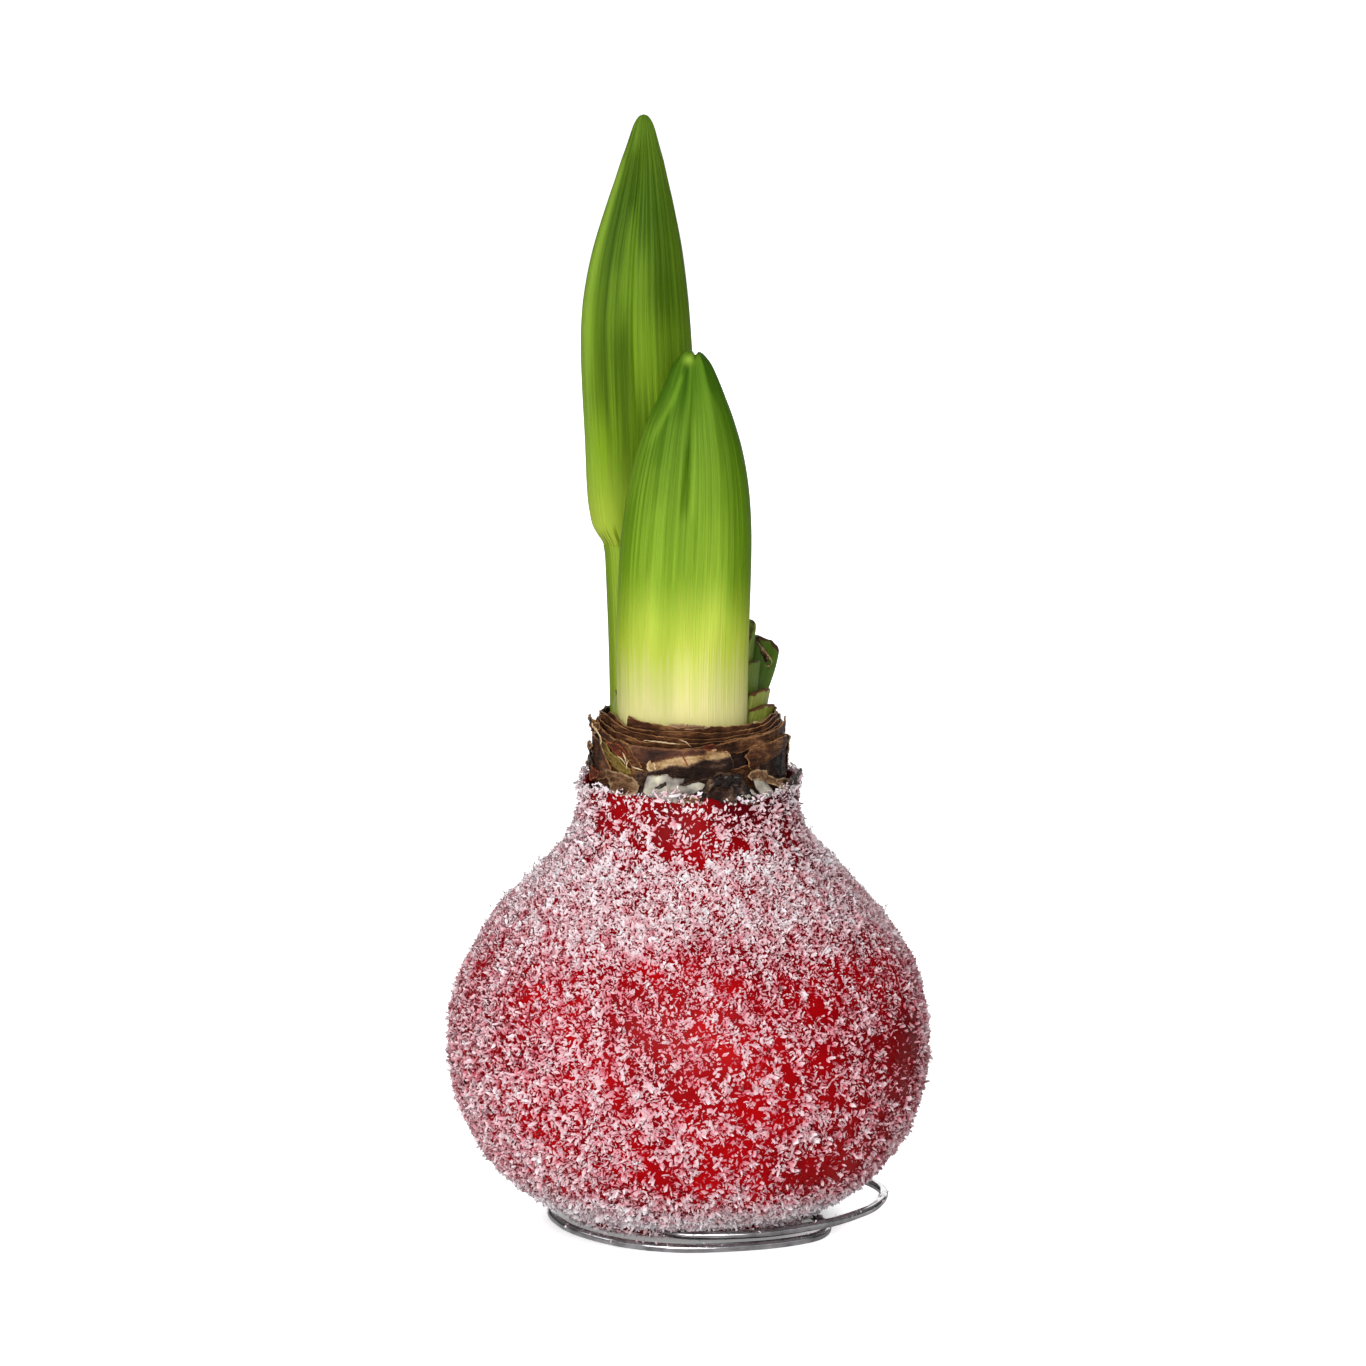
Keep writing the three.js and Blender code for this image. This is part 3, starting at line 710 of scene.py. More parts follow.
# %% Build the snow in bands
CURLED_SHARE = 0.42
curled = rng.uniform(0, 1, len(landed)) < CURLED_SHARE
size = np.where(curled, rng.gamma(9.0, 0.108, len(landed)), rng.gamma(8.0, 0.076, len(landed)))
up = landed[:, 2]
size = size.clip(0.3, 1.7) * (1.04 - 0.26 * fade(up, 30, 62) + 0.2 * fade(up, 70, 80))
BANDS = [  # name, lowest and highest flake
    ("snow_foot", 0, 17), ("snow_belly_low", 17, 36), ("snow_belly_high", 36, 51),
    ("snow_shoulder", 51, 64), ("snow_neck", 64, 100),
]  # fmt: skip
for name, low, high in BANDS:
    here = (landed[:, 2] >= low) & (landed[:, 2] < high)
    groups = []
    for shape, chosen in ((shavings, here & curled), (crumbs, here & ~curled)):
        at, way = landed[chosen], facing[chosen]
        groups.append((shape(at, way, lift[chosen], size[chosen], rng), at, way, thick[chosen]))
    flake_piece(name, groups, snow)

# %% [markdown]
# ## Wire stand
#
# The stand is one length of bright spring wire: a pin up in the bulb, a turn that rises on
# the right, and a turn that lies on the table. The solid wire has ten flat sides, so a
# rounder tube takes its place along the same route. A curve object with a bevel would do,
# but a swept mesh leaves control of every ring. A few flakes fell on it and stayed.

# %% Wire route
WIRE_RADIUS = 0.9
ELBOW_RADIUS = 3
FLOOR_LEVEL = WIRE_RADIUS * np.cos(np.pi / 10)
COIL = np.array([  # angle, distance from the middle, height
    (-108, 23.4, 2.15), (-91, 26.1, 2.15), (-62, 28.6, 2.25), (-37, 32.2, 2.6), (-17, 36.5, 3.3),
    (2, 38.6, 3.9), (22, 37.4, 3.8), (47, 33.6, 3.2), (76, 30.2, 2.5), (110, 28.4, 1.7),
    (144, 27.8, 0.7), (172, 27.6, 0), (200, 26.3, 0), (222, 26.2, 0), (244, 27.3, 0),
    (266, 28.3, 0), (288, 28.5, 0), (308, 30.0, 0), (324, 31.0, 0), (338, 29.2, 0),
    (356, 24.8, 0), (388, 21.6, 0), (430, 19.6, 0), (475, 18.4, 0),
])  # fmt: skip


def coil_plan(stations, steps):
    """Points on a curve through the stations whose speed follows their spacing."""
    gaps = np.linalg.norm(np.diff(stations, axis=0), axis=1) ** 0.5
    ends = [2 * stations[0] - stations[1], *stations, 2 * stations[-1] - stations[-2]]
    gaps = np.array([gaps[0], *gaps, gaps[-1]])
    found = []
    for i in range(len(stations) - 1):
        a, b, c, d = ends[i : i + 4]
        ga, gb, gc = gaps[i : i + 3]
        va = ((b - a) / ga - (c - a) / (ga + gb) + (c - b) / gb) * gb
        vb = ((c - b) / gb - (d - b) / (gb + gc) + (d - c) / gc) * gb
        for w in np.arange(steps) / steps:
            found.append(
                (2 * b - 2 * c + va + vb) * w**3 + (3 * c - 3 * b - 2 * va - vb) * w**2 + va * w + b
            )
    return np.array([*found, stations[-1]])


STEPS = 12  # between two stations
stations = around(COIL[:, 1], np.radians(COIL[:, 0]), 0.0)
plan = coil_plan(stations, STEPS)
share = fade(np.arange(len(plan)) % STEPS / STEPS, 0, 1)
station = np.minimum(np.arange(len(plan)) // STEPS, len(COIL) - 2)
plan[:, 2] = FLOOR_LEVEL + COIL[station, 2] * (1 - share) + COIL[station + 1, 2] * share
plan[-1, 2] = FLOOR_LEVEL
heading = stations[0] / np.linalg.norm(stations[0])
run_height = FLOOR_LEVEL + COIL[0, 2]
bend = np.linspace(0, np.pi / 2, 9)
elbow_out, elbow_up = ELBOW_RADIUS * (1 - np.cos(bend)), ELBOW_RADIUS * (1 - np.sin(bend))
elbow = heading * elbow_out[:, None] + np.outer(run_height + elbow_up, (0, 0, 1))
spoke = [stations[0] * s + (0, 0, run_height) for s in (0.3, 0.5, 0.7, 0.82)]
corner_from, corner, corner_to = spoke[-1], stations[0] + (0, 0, run_height), plan[8]
corner_points = [
    corner_from * (1 - w) ** 2 + corner * 2 * w * (1 - w) + corner_to * w**2
    for w in (0.25, 0.5, 0.75)
]
route = np.vstack([[(0, 0, 16), (0, 0, 10)], elbow, spoke, corner_points, plan[8:]])
print("wire is", round(float(np.linalg.norm(np.diff(route, axis=0), axis=1).sum())), "mm long")

# %% Sweep the wire


def swept_tube(route, radius, sides):
    """Rings of points round a route, kept from twisting, for a closed tube."""
    route, radius = np.asarray(route, float), np.broadcast_to(radius, len(route))
    ahead = np.gradient(route, axis=0)
    ahead /= np.linalg.norm(ahead, axis=1)[:, None]
    side = np.cross(ahead[0], (0.3, 0.9, 0.1))
    turn = np.linspace(0, 2 * np.pi, sides, endpoint=False)[:, None]
    rings = []
    for middle, way, r in zip(route, ahead, radius, strict=True):
        side = side - way * (side @ way)
        side /= np.linalg.norm(side)
        over = np.cross(way, side)
        rings.append(middle + r * (np.cos(turn) * side + np.sin(turn) * over))
    return np.array(rings)


WEAR = [(0.0, (150, 150, 152)), (1.0, (206, 206, 208))]
polished = mottled_material("polished_steel", 300.0, WEAR, (0.08, 0.2), 0.004, Metallic=1.0)
rings = swept_tube(route, WIRE_RADIUS, 20)
rings[..., 2] = np.maximum(rings[..., 2], 0.0)
make_piece("wire_tube", *closed_body(rings), polished, slot="steel_wire", replaces=("wire_stand",))

# %% A few flakes caught on the wire
CAUGHT, CAUGHT_CURLED = 190, 70
ELBOW_END = 18  # the route's first point that can hold one
rng = np.random.default_rng(29)
way = np.column_stack([rng.normal(0, 0.6, (CAUGHT, 2)), rng.uniform(0.2, 1, CAUGHT)])
way /= np.linalg.norm(way, axis=1)[:, None]
at = (
    route[rng.integers(ELBOW_END, len(route), CAUGHT)]
    + rng.uniform(-0.4, 0.4, (CAUGHT, 1)) * (1, 1, 0)
    + way * WIRE_RADIUS * 0.9
)
small = rng.gamma(9.0, 0.075, CAUGHT).clip(0.35, 1.1)
groups = []
is_curled = np.arange(CAUGHT) < CAUGHT_CURLED
for shape, chosen in ((shavings, is_curled), (crumbs, ~is_curled)):
    lifted, full = np.full(chosen.sum(), 0.08), np.full(chosen.sum(), 1.6)
    on, out = at[chosen], way[chosen]
    groups.append((shape(on, out, lifted, small[chosen], rng), on, out, full))
flake_piece("snow_on_wire", groups, snow)

# %% [markdown]
# ## Buds and stem
#
# A bud is two green valves, closed on each other. Its section is an oval, and folds that
# start at the tip fade as they run down. One grid of rings, shaped by its outline, takes
# all of them as small moves in and out. Each point keeps its place round and up the bud as
# a grain, so that the veins converge at the tip as they do on a real one. It also keeps a
# tone, which paints light and shade on the skin: lit bands where the folds face the light,
# shade in hollows, grooves and on the far sides, and a few highlights. A margin marks the
# pale edge of a valve. Sums of smooth bells give both, and they could as well be painted
# by hand. Two short ramps by height, one dark and one light, give the colours that the
# tone mixes.

# %% A stalk from rings


def stalk_rings(outline, depth_share, middle_at, heights, columns, folds=None):
    """Rings up a stalk. folds gives how far the surface moves out, by side and height."""
    smooth = curve_through(outline, 400)
    angle = np.linspace(0, 2 * np.pi, columns, endpoint=False)
    z, a = heights[:, None], angle[None, :]
    half = np.maximum(np.interp(heights, smooth[:, 1], smooth[:, 0]), 0.02)[:, None]
    x, y = half * np.cos(a), half * depth_share * np.sin(a)
    if folds is not None:
        out_x, out_y = np.cos(a) * depth_share, np.sin(a)
        size = np.hypot(out_x, out_y)
        move = folds(np.cos(a), np.sin(a), z) * np.minimum(1, half / 4)
        x, y = x + move * out_x / size, y + move * out_y / size
    middle_x, middle_y = middle_at(z)
    grain = np.broadcast_arrays(np.cos(a), np.sin(a), z / 20)
    rings = np.stack(np.broadcast_arrays(x + middle_x, y + middle_y, z), -1)
    return rings, np.stack(grain, -1)


def make_stalk(name, rings, grain, material, slot, replaces, marks=None):
    vertices, faces = closed_body(rings)
    piece = make_piece(name, vertices, faces, material, slot=slot, replaces=replaces)
    ends = [grain[0].mean(0), grain[-1].mean(0)]
    give(piece, "grain", np.vstack([grain.reshape(-1, 3), *[e[None] for e in ends]]))
    for label, values in (marks or {}).items():
        values = np.broadcast_to(values, rings.shape[:2])
        give(piece, label, np.concatenate([values.ravel(), [values[0, 0], values[-1, 0]]]))
    return piece


# %% Bud skin material


VEIN_STRENGTH = 0.9
PALE_MARGIN = (154, 192, 62)
SKIN_GLOW = {"Subsurface_Weight": 0.04, "Subsurface_Scale": 0.002}
SKIN_GLOW["Subsurface_Radius"] = (0.6, 1.0, 0.2)


def bud_material(name, low, high, skin):
    """Green skin. Each row of skin is a height, its darkest colour and its lightest.

    The tone, mostly painted light and shade, and streaks mix the two; a margin lies over them.
    """
    dark, light = ([((row[0] - low) / (high - low), tint(*row[k])) for row in skin] for k in (1, 2))
    material, nodes, shader = make_material(name, Specular_IOR_Level=0.06, **SKIN_GLOW)
    z = place(nodes, "SeparateXYZ", {"Vector": spot_on(nodes)}).outputs["Z"]
    grain = attribute(nodes, "grain", "Vector")
    vein = use_group(nodes, streaks, Grain=grain, Across=15.0, Along=0.3)
    blur = math_node(nodes, "MULTIPLY", vein["Streak"], 0.007)
    level = span(nodes, math_node(nodes, "ADD", z, blur), low * MM, high * MM)
    veined = attribute(nodes, "veins")
    streak = math_node(nodes, "MULTIPLY", math_node(nodes, "SUBTRACT", vein["Streak"], 0.5), veined)
    streak = math_node(nodes, "MULTIPLY", streak, VEIN_STRENGTH)
    mixed = math_node(nodes, "ADD", attribute(nodes, "tone_and_painted_light"), streak, clamp=True)
    shade = blend(nodes, mixed, ramp(nodes, level, dark), ramp(nodes, level, light))
    shade = blend(nodes, attribute(nodes, "margin"), shade, tint(*PALE_MARGIN))
    unlit = math_node(nodes, "MULTIPLY", math_node(nodes, "SUBTRACT", 1.0, vein["Fine"]), veined)
    fine = span(nodes, unlit, 0, 1, 1.0, 0.76)
    grey = place(nodes, "CombineXYZ", {"X": fine, "Y": fine, "Z": fine}).outputs[0]
    feed(nodes, shader, "Base Color", blend(nodes, 1.0, shade, grey, "MULTIPLY"))
    feed(nodes, shader, "Roughness", span(nodes, vein["Fine"], 0, 1, 0.3, 0.45))
    both = math_node(nodes, "ADD", vein["Fine"], vein["Streak"])
    bump_from(nodes, shader, both, 0.06)
    return material


# %% Front bud
FRONT_OUTLINE = [
    (12.6, 90), (12.7, 103), (12.9, 118), (12.9, 130), (12.6, 139), (11.75, 147), (10.35, 154),
    (8.5, 160), (6.3, 165.3), (4.75, 169.0), (3.7, 171.2), (2.7, 172.4), (1.3, 173.1), (0, 173.3),
]  # fmt: skip


def front_middle(z):
    return -1.4 + 1.7 * fade(z, 110, 168) + 0.25 * fade(z, 158, 168), np.full_like(z, -7.3)


def front_folds(side, face, z):
    """Two ridges and a groove that start at the tip and fade below, and a soft swell."""
    front = fade(-face, 0, 0.4)
    back = fade(face, 0, 0.4)
    upper = fade(z, 132, 164)
    ridges = (
        0.45 * bell(side, -0.5, 0.13) * fade(z, 146, 166)
        + 0.5 * bell(side, 0.5, 0.16) * fade(z, 134, 164)
    )
    groove_at = 0.02 - 0.1 * (1 - fade(z, 140, 158))
    groove = 0.75 * bell(side, groove_at, 0.045) * fade(z, 138, 146) * (1 - fade(z, 163, 170))
    groove = groove + 0.35 * bell(side, groove_at, 0.16) * upper
    flutes = (
        0.05 * np.sin(side * 21 + 1) * fade(z, 120, 150) * (1 - 0.6 * upper)
        + 0.05 * np.sin(side * 9)
    )
    behind = 0.5 * bell(side, 0.3, 0.12) - 0.5 * bell(side, 0.1, 0.07)
    return front * (ridges - groove + flutes) + back * (behind * upper + flutes)


near_tip = 173.3 - 13.0 * np.linspace(0.985, 0.0, 46) ** 2
heights = np.concatenate([np.linspace(90, 160, 96), near_tip])
rings, grain = stalk_rings(FRONT_OUTLINE, 0.585, front_middle, heights, 168, front_folds)
lobes = (
    0.9 * bell(rings[..., 0], -0.5, 1.2)
    + 0.55 * bell(rings[..., 0], 2.2, 1.1)
    - 0.7 * bell(rings[..., 0], 1.15, 0.3)
)
rings[..., 2] += lobes * fade(heights, 170.0, 173.2)[:, None]
FRONT_SKIN = [  # height, dark colour, light colour
    (100, (190, 184, 116), (228, 218, 138)),  # cream in the neck
    (107, (200, 196, 130), (230, 222, 152)),
    (120, (160, 180, 48), (202, 214, 88)),  # yellow-green
    (126, (140, 168, 40), (196, 218, 80)),
    (134, (106, 144, 18), (152, 188, 54)),  # green
    (172, (56, 96, 4), (104, 146, 32)),  # deep green at the tip
]


def front_tone_and_painted_light(side, face, z):
    """Painted light and shade: lit bands on the folds, a shaded right side and groove, tip
    highlights.
    """
    low, top = 1 - fade(z, 112, 124), fade(z, 158, 165)
    # Painted shade on the right side, and lit bands where the folds face the light.
    shade_from = 0.6 + 0.06 * fade(z, 146, 156) - 0.2 * fade(z, 162, 169)
    tone_and_painted_light = 0.42 - 0.36 * fade(side, shade_from, shade_from + 0.1) * fade(z, 116, 132)
    tone_and_painted_light += 0.62 * bell(side, 0.44 - 0.12 * low, 0.17) * (1 - 0.4 * fade(z, 136, 146))
    tone_and_painted_light += (
        0.35 * bell(side, -0.48, 0.11) * fade(z, 108, 122) * (1 - fade(z, 142, 148))
        + 0.45 * bell(side, 0, 0.16) * low
    )
    # Painted shade on the left edge, low down.
    shaded = 0.45 * (1 - fade(side, -0.95, -0.72)) + 0.1 * bell(side, -0.2, 0.1)
    tone_and_painted_light -= shaded * (1 - fade(z, 140, 150))
    # A painted highlight along the groove's right lip.
    tone_and_painted_light += (
        0.15 * bell(side, 0.05, 0.22)
        + 0.5 * bell(side, 0.09, 0.04) * fade(z, 140, 146) * (1 - fade(z, 158, 163))
    )
    # Painted shade in the groove and on the flanks near the tip.
    tone_and_painted_light -= (
        0.7 * bell(side, -0.05, 0.06) * fade(z, 140, 146) * (1 - fade(z, 153, 160))
        + 0.1 * bell(side, 0.1, 0.4) * fade(z, 164, 168)
    )
    tone_and_painted_light -= 0.35 * bell(side, -0.58, 0.12) * fade(z, 150, 154) * (1 - fade(z, 161, 165))
    tone_and_painted_light -= 0.4 * bell(side, -0.27, 0.13) * top + 0.3 * (1 - fade(side, -0.85, -0.7)) * top
    # A painted highlight along the ridge near the tip.
    highlight_slant = -0.76 + 0.03 * (z - 157.6)
    tone_and_painted_light += (
        0.75 * bell(side, highlight_slant, 0.08) * fade(z, 154, 160) * (1 - fade(z, 168, 171))
        + 0.35 * bell(side, -0.08, 0.04) * top
    )
    # On the back the tone only varies round the bud. On the front, painted shade also darkens the
    # right edge.
    return (
        np.where(face < 0, tone_and_painted_light, 0.4 + 0.12 * np.sin(side * 13))
        - 0.12 * bell(side, 0.95, 0.1) * fade(z, 118, 124)
    )


tones_and_painted_light = front_tone_and_painted_light(grain[..., 0], grain[..., 1], heights[:, None])
veins = 0.05 + 0.95 * fade(heights, 110, 136)[:, None] - 0.55 * fade(heights, 156, 166)[:, None]
# On the front bud the margin is a pale spot at the curled tip: partly its pale rim, partly a
# painted highlight.
curled_tip = bell(rings[..., 0], -0.2, 1.0) * bell(rings[..., 2], 172.3, 1.0)
curled_tip = curled_tip * (grain[..., 1] < 0.2)
front_skin = bud_material("front_bud_skin", 95, 175, FRONT_SKIN)
marks = {"tone_and_painted_light": tones_and_painted_light, "veins": veins, "margin": curled_tip}
make_stalk("front_bud_valves", rings, grain, front_skin, "green_bud", ("front_bud",), marks)

# %% Rear bud
REAR_OUTLINE = [
    (7.3, 131.4), (7.32, 132.6), (7.45, 133.8), (7.9, 135.0), (8.75, 136.3), (9.6, 138.0),
    (10.1, 140.4), (10.5, 144), (10.8, 152), (11, 165),
    (10.8, 176), (10.1, 184), (8.7, 192.5), (6.5, 201.2), (5.3, 205.4), (4.2, 209.4), (3.4, 211.9),
    (2.7, 214.2), (2.3, 215.5), (1.9, 216.6), (1.35, 217.6), (0.75, 218.25), (0, 218.5),
]  # fmt: skip


def rear_middle(z):
    x = -8.2 - 1.4 * fade(z, 96, 150) - 0.9 * fade(z, 150, 180) + 1.6 * fade(z, 180, 220)
    return x, 4.8 + 1.6 * fade(z, 100, 150)


def rear_folds(side, face, z):
    """The left valve's rolled margin, the hollow beside it and the edge of the right valve."""
    front, back = fade(-face, 0, 0.35), fade(face, 0, 0.35)
    body = fade(z, 140, 156) * (1 - fade(z, 206, 216))
    roll = 0.5 * bell(side, -0.72, 0.16) * body
    hollow = 0.75 * bell(side, -0.28, 0.24) * body
    step_at = -0.06 - 0.02 * (z - 170) / 40
    valve = 0.45 * fade(side, step_at - 0.03, step_at + 0.03) * (1 - fade(side, 0.1, 0.9)) * body
    crease = 0.3 * bell(side, step_at - 0.05, 0.04) * body
    flutes = 0.06 * np.sin(side * 19) + 0.05 * np.sin(side * 31 + 2)
    flutes = flutes * fade(z, 140, 149)
    return front * (roll - hollow + valve - crease + flutes) + back * (valve - crease + flutes)


near_tip = 218.5 - 13.0 * np.linspace(0.98, 0.0, 44) ** 2
heights = np.concatenate([np.linspace(131.4, 143, 28), np.linspace(143.8, 205, 78), near_tip])
rings, grain = stalk_rings(REAR_OUTLINE, 0.67, rear_middle, heights, 216, rear_folds)
REAR_SKIN = [  # height, dark colour, light colour
    (135, (106, 136, 16), (146, 176, 48)),  # as the stem
    # The dark collar is painted shade under the swelling at the bud's foot.
    (136.5, (98, 120, 8), (120, 144, 22)),  # a dark collar
    (138, (100, 122, 8), (120, 144, 18)),
    # The pale band above it is a painted highlight on the swelling.
    (140, (124, 148, 32), (174, 194, 66)),  # pale above it
    (157, (80, 108, 8), (128, 164, 32)),  # green
    (203, (58, 92, 6), (104, 138, 30)),  # deep green
    (216, (76, 106, 10), (112, 148, 44)),  # a paler tip
]


def rear_tone_and_painted_light(side, face, z):
    """Painted light and shade: a shaded hollow on the left and the lit edge of the right valve."""
    low, step_at = 1 - fade(z, 152, 166), -0.05 - 0.02 * (z - 170) / 40
    # The left side is painted lighter, both its pale margin and the light on it, and the hollow
    # beside it is painted in shade.
    tone_and_painted_light = (
        0.18
        + 0.5 * bell(side, -0.93, 0.13)
        + 0.85 * bell(side, -0.75, 0.27) * low
        - 0.14 * bell(side, -0.25, 0.12) * fade(z, 144, 150)
    )
    # The edge of the right valve faces the light and is painted lighter.
    strip = fade(side, step_at - 0.02, step_at + 0.03) * (1 - fade(side, 0.12, 0.4))
    tone_and_painted_light += (
        0.75 * strip * fade(z, 158, 172) * (1 - fade(z, 186, 198))
        + 0.2 * fade(side, 0.1, 0.2) * (1 - fade(z, 174, 182))
    )
    # A painted sheen high on the left half, and lighter towards the tip.
    tone_and_painted_light += (
        0.8 * bell(side, -0.2, 0.17) * fade(z, 172, 188) * (1 - fade(z, 195, 204))
        + 0.5 * bell(side, -0.45, 0.22) * fade(z, 209, 214)
    )
    tone_and_painted_light += (
        0.35 * bell(side, 0.9, 0.12) * fade(z, 164, 172)
        + 0.14 * fade(side, 0.1, 0.3) * fade(z, 184, 192)
        + 0.3 * fade(z, 212, 217)
    )
    tone_and_painted_light += (
        0.3 * bell(side, 0.45, 0.25) * (1 - fade(z, 176, 186))
        + 0.3 * bell(side, -0.45, 0.16) * fade(z, 172, 180) * (1 - fade(z, 186, 192))
    )
    return (
        np.where(face < 0, tone_and_painted_light, 0.35 + 0.12 * np.sin(side * 11))
        - 0.15 * bell(side, 0, 0.07) * (face > 0)
    )


def rear_margin(side, z):
    """The pale rolled margin of the left valve."""
    margin = bell(side, -0.88, 0.12) * (0.4 + 0.5 * fade(z, 160, 180))
    return margin * fade(z, 140, 150) * (1 - fade(z, 206, 214))


tones_and_painted_light = rear_tone_and_painted_light(grain[..., 0], grain[..., 1], heights[:, None])
veins = (
    0.2
    + 0.4 * fade(heights, 140, 149)[:, None]
    + 0.4 * fade(heights, 150, 165)[:, None]
    - 0.4 * fade(heights, 205, 214)[:, None]
)
rear_skin = bud_material("rear_bud_skin", 130, 220, REAR_SKIN)
marks = {"tone_and_painted_light": tones_and_painted_light, "veins": veins, "margin": rear_margin(grain[..., 0], heights[:, None])}
make_stalk("rear_bud_valves", rings, grain, rear_skin, "green_bud", ("rear_bud",), marks)

# %% The rear bud's stem
STEM_OUTLINE = [(7.4, 90), (7.4, 104), (7.32, 118), (7.34, 130), (7.37, 131.6), (7.41, 132.6),
    (7.55, 133.6), (7.62, 134.0), (7.5, 134.3)]
heights = np.concatenate([np.linspace(90, 130, 36), np.linspace(130.6, 134.3, 14)])
rings, grain = stalk_rings(STEM_OUTLINE, 0.67, rear_middle, heights, 96)
STEM_SKIN = [  # height, dark colour, light colour
    (92, (146, 152, 46), (190, 196, 84)),
    (110, (118, 142, 22), (170, 194, 60)),
    (130, (108, 140, 20), (160, 190, 60)),
]
# A painted highlight down the left side, and painted shade at its left edge.
tones_and_painted_light = 0.35 + 0.5 * bell(grain[..., 0], -0.7, 0.14) - 0.3 * bell(grain[..., 0], -1, 0.12)
stem_skin = bud_material("stem_skin", 90, 136, STEM_SKIN)
marks = {"tone_and_painted_light": tones_and_painted_light, "veins": 0.6}
make_stalk("rear_stem_skin", rings, grain, stem_skin, "green_stem", ("rear_stem",), marks)

# %% [markdown]
# ## Stubs of cut leaves and scales
#
# Leaves and scales were cut back close to the neck, and their cut edges dried to a brown
# lip. Each is a curved blade, part of a ring, as in the solid, with a rounded lip that
# wanders up and down. A loop of points round each blade's section, stacked up, makes it.

# %% Blades from the ring they belong to


BLADE_ROOT = 95
ACROSS = 44


def blade_rings(radius, wall, start, end, top, centre=(0, 0), shift=(0, 0), keel=0.0, rounding=0.6,
        slope=0.0, waist=0.0, bulge=0.0, corner=0.0, seed=0):
    """Loops round a curved blade, from root to cut edge, and how far each is from the cut."""
    rises = np.concatenate([np.linspace(0, 0.93, 26), [0.955, 0.975, 0.988, 0.996, 1.0]])
    narrow = np.concatenate([np.ones(27), [0.97, 0.85, 0.55, 0.2]])
    across = np.linspace(-1, 1, ACROSS)
    loop = np.concatenate([across, across[::-1]])
    outside = np.repeat([1.0, 0.0], ACROSS)
    ends = 1 - 0.8 * np.abs(loop) ** 12
    rings = []
    for rise, part in zip(rises, narrow, strict=True):
        thick = wall * (0.5 + (outside - 0.5) * part * ends)
        angle = np.radians(start + (end - start) * (loop + 1) / 2)
        r = radius + thick + keel * (1 - np.abs(loop)) + waist * np.sin(rise * np.pi) ** 2
        r = r + rise * 0.06 * ripple(np.stack([loop * 3, np.full_like(loop, rise)], 1), 1.4, seed)
        z = BLADE_ROOT + rise * (top - BLADE_ROOT) - rise**3 * (rounding * loop**2 - slope * loop)
        z = z + rise**6 * 0.09 * ripple(np.stack([loop * 6, loop * 0], 1), 2.2, seed + 1)
        z = z - rise**4 * corner * np.clip(-loop - 0.55, 0, 1) ** 2 / 0.2
        r = r + bulge * np.sin(np.clip((rise - 0.5) / 0.5, 0, 1) * np.pi)
        ring = around(r, angle, z)
        ring[:, :2] += np.array(centre) + np.array(shift) * rise
        rings.append(ring)
    return np.array(rings), (1 - rises) * (top - BLADE_ROOT)


def blade_material(name, root, low, high, rim, reach):
    """Green skin that pales to its root, with a dried brown cut rim."""
    material, nodes, shader = make_material(name, Specular_IOR_Level=0.35)
    grain = attribute(nodes, "grain", "Vector")
    vein = use_group(nodes, streaks, Grain=grain, Across=7.0, Along=0.6)
    below = attribute(nodes, "from_cut")
    green = blend(nodes, vein["Streak"], tint(*low), tint(*high))
    green = blend(nodes, span(nodes, below, 4.0, 13.0, 0.0, 1.0), green, tint(*root))
    cut = {"From Cut": below, "Place": spot_on(nodes), "Reach": reach}
    dry = use_group(nodes, dried_rim, **cut)["Dry"]
    brown = blend(nodes, vein["Fine"], tint(*rim), tint(*[min(255, c * 2) for c in rim]))
    feed(nodes, shader, "Base Color", blend(nodes, dry, green, brown))
    feed(nodes, shader, "Roughness", span(nodes, dry, 0, 1, 0.34, 0.75))
    bump_from(nodes, shader, vein["Fine"], 0.08)
    return material


leaf_grey = blade_material("leaf_grey", (150, 166, 70), (88, 118, 34), (130, 150, 60),
    (58, 50, 28), 0.12)
leaf_green = blade_material("leaf_green", (136, 160, 48), (84, 114, 24), (124, 146, 44),
    (52, 40, 20), 0.15)
leaf_dark = blade_material("leaf_dark", (84, 116, 18), (50, 86, 8), (96, 128, 18), (48, 26, 16),
    0.35)
scale_pale = blade_material("scale_pale", (182, 190, 96), (134, 146, 44), (176, 184, 86),
    (66, 40, 22), 0.5)
scale_green = blade_material("scale_green", (170, 186, 80), (132, 152, 42), (166, 182, 66),
    (60, 46, 22), 0.1)

# %% Cut blades in place
FAN = (7, 3.6)
BLADES = {
    "scale_stub_low": (scale_pale, dict(centre=FAN, radius=6.9, wall=1.2, start=-66, end=1,
        top=103.4, shift=(1.7, 0))),
    "scale_stub_mid": (scale_pale, dict(centre=FAN, radius=5.6, wall=1.3, start=-64, end=8,
        top=106.4, shift=(2, 0))),
    "scale_stub_left": (scale_green, dict(radius=13.9, wall=0.8, start=171, end=201, top=106.4,
        rounding=2.6, waist=0.8)),
    "leaf_stub_short": (leaf_green, dict(centre=FAN, radius=4.3, wall=1.0, start=-62, end=12,
        top=111.8, shift=(1.6, 0), rounding=0.3)),
    "leaf_stub_folded": (leaf_dark, dict(centre=FAN, radius=6.2, wall=1.1, start=27, end=96,
        top=115.4, shift=(4.6, 0), keel=-1.0, rounding=0.6, slope=1.0, bulge=0.4, corner=0.9)),
    "leaf_stub_tall": (leaf_grey, dict(centre=FAN, radius=2.5, wall=1.1, start=-50, end=110,
        top=119.5, shift=(2.5, 0.3), rounding=4.4)),
}
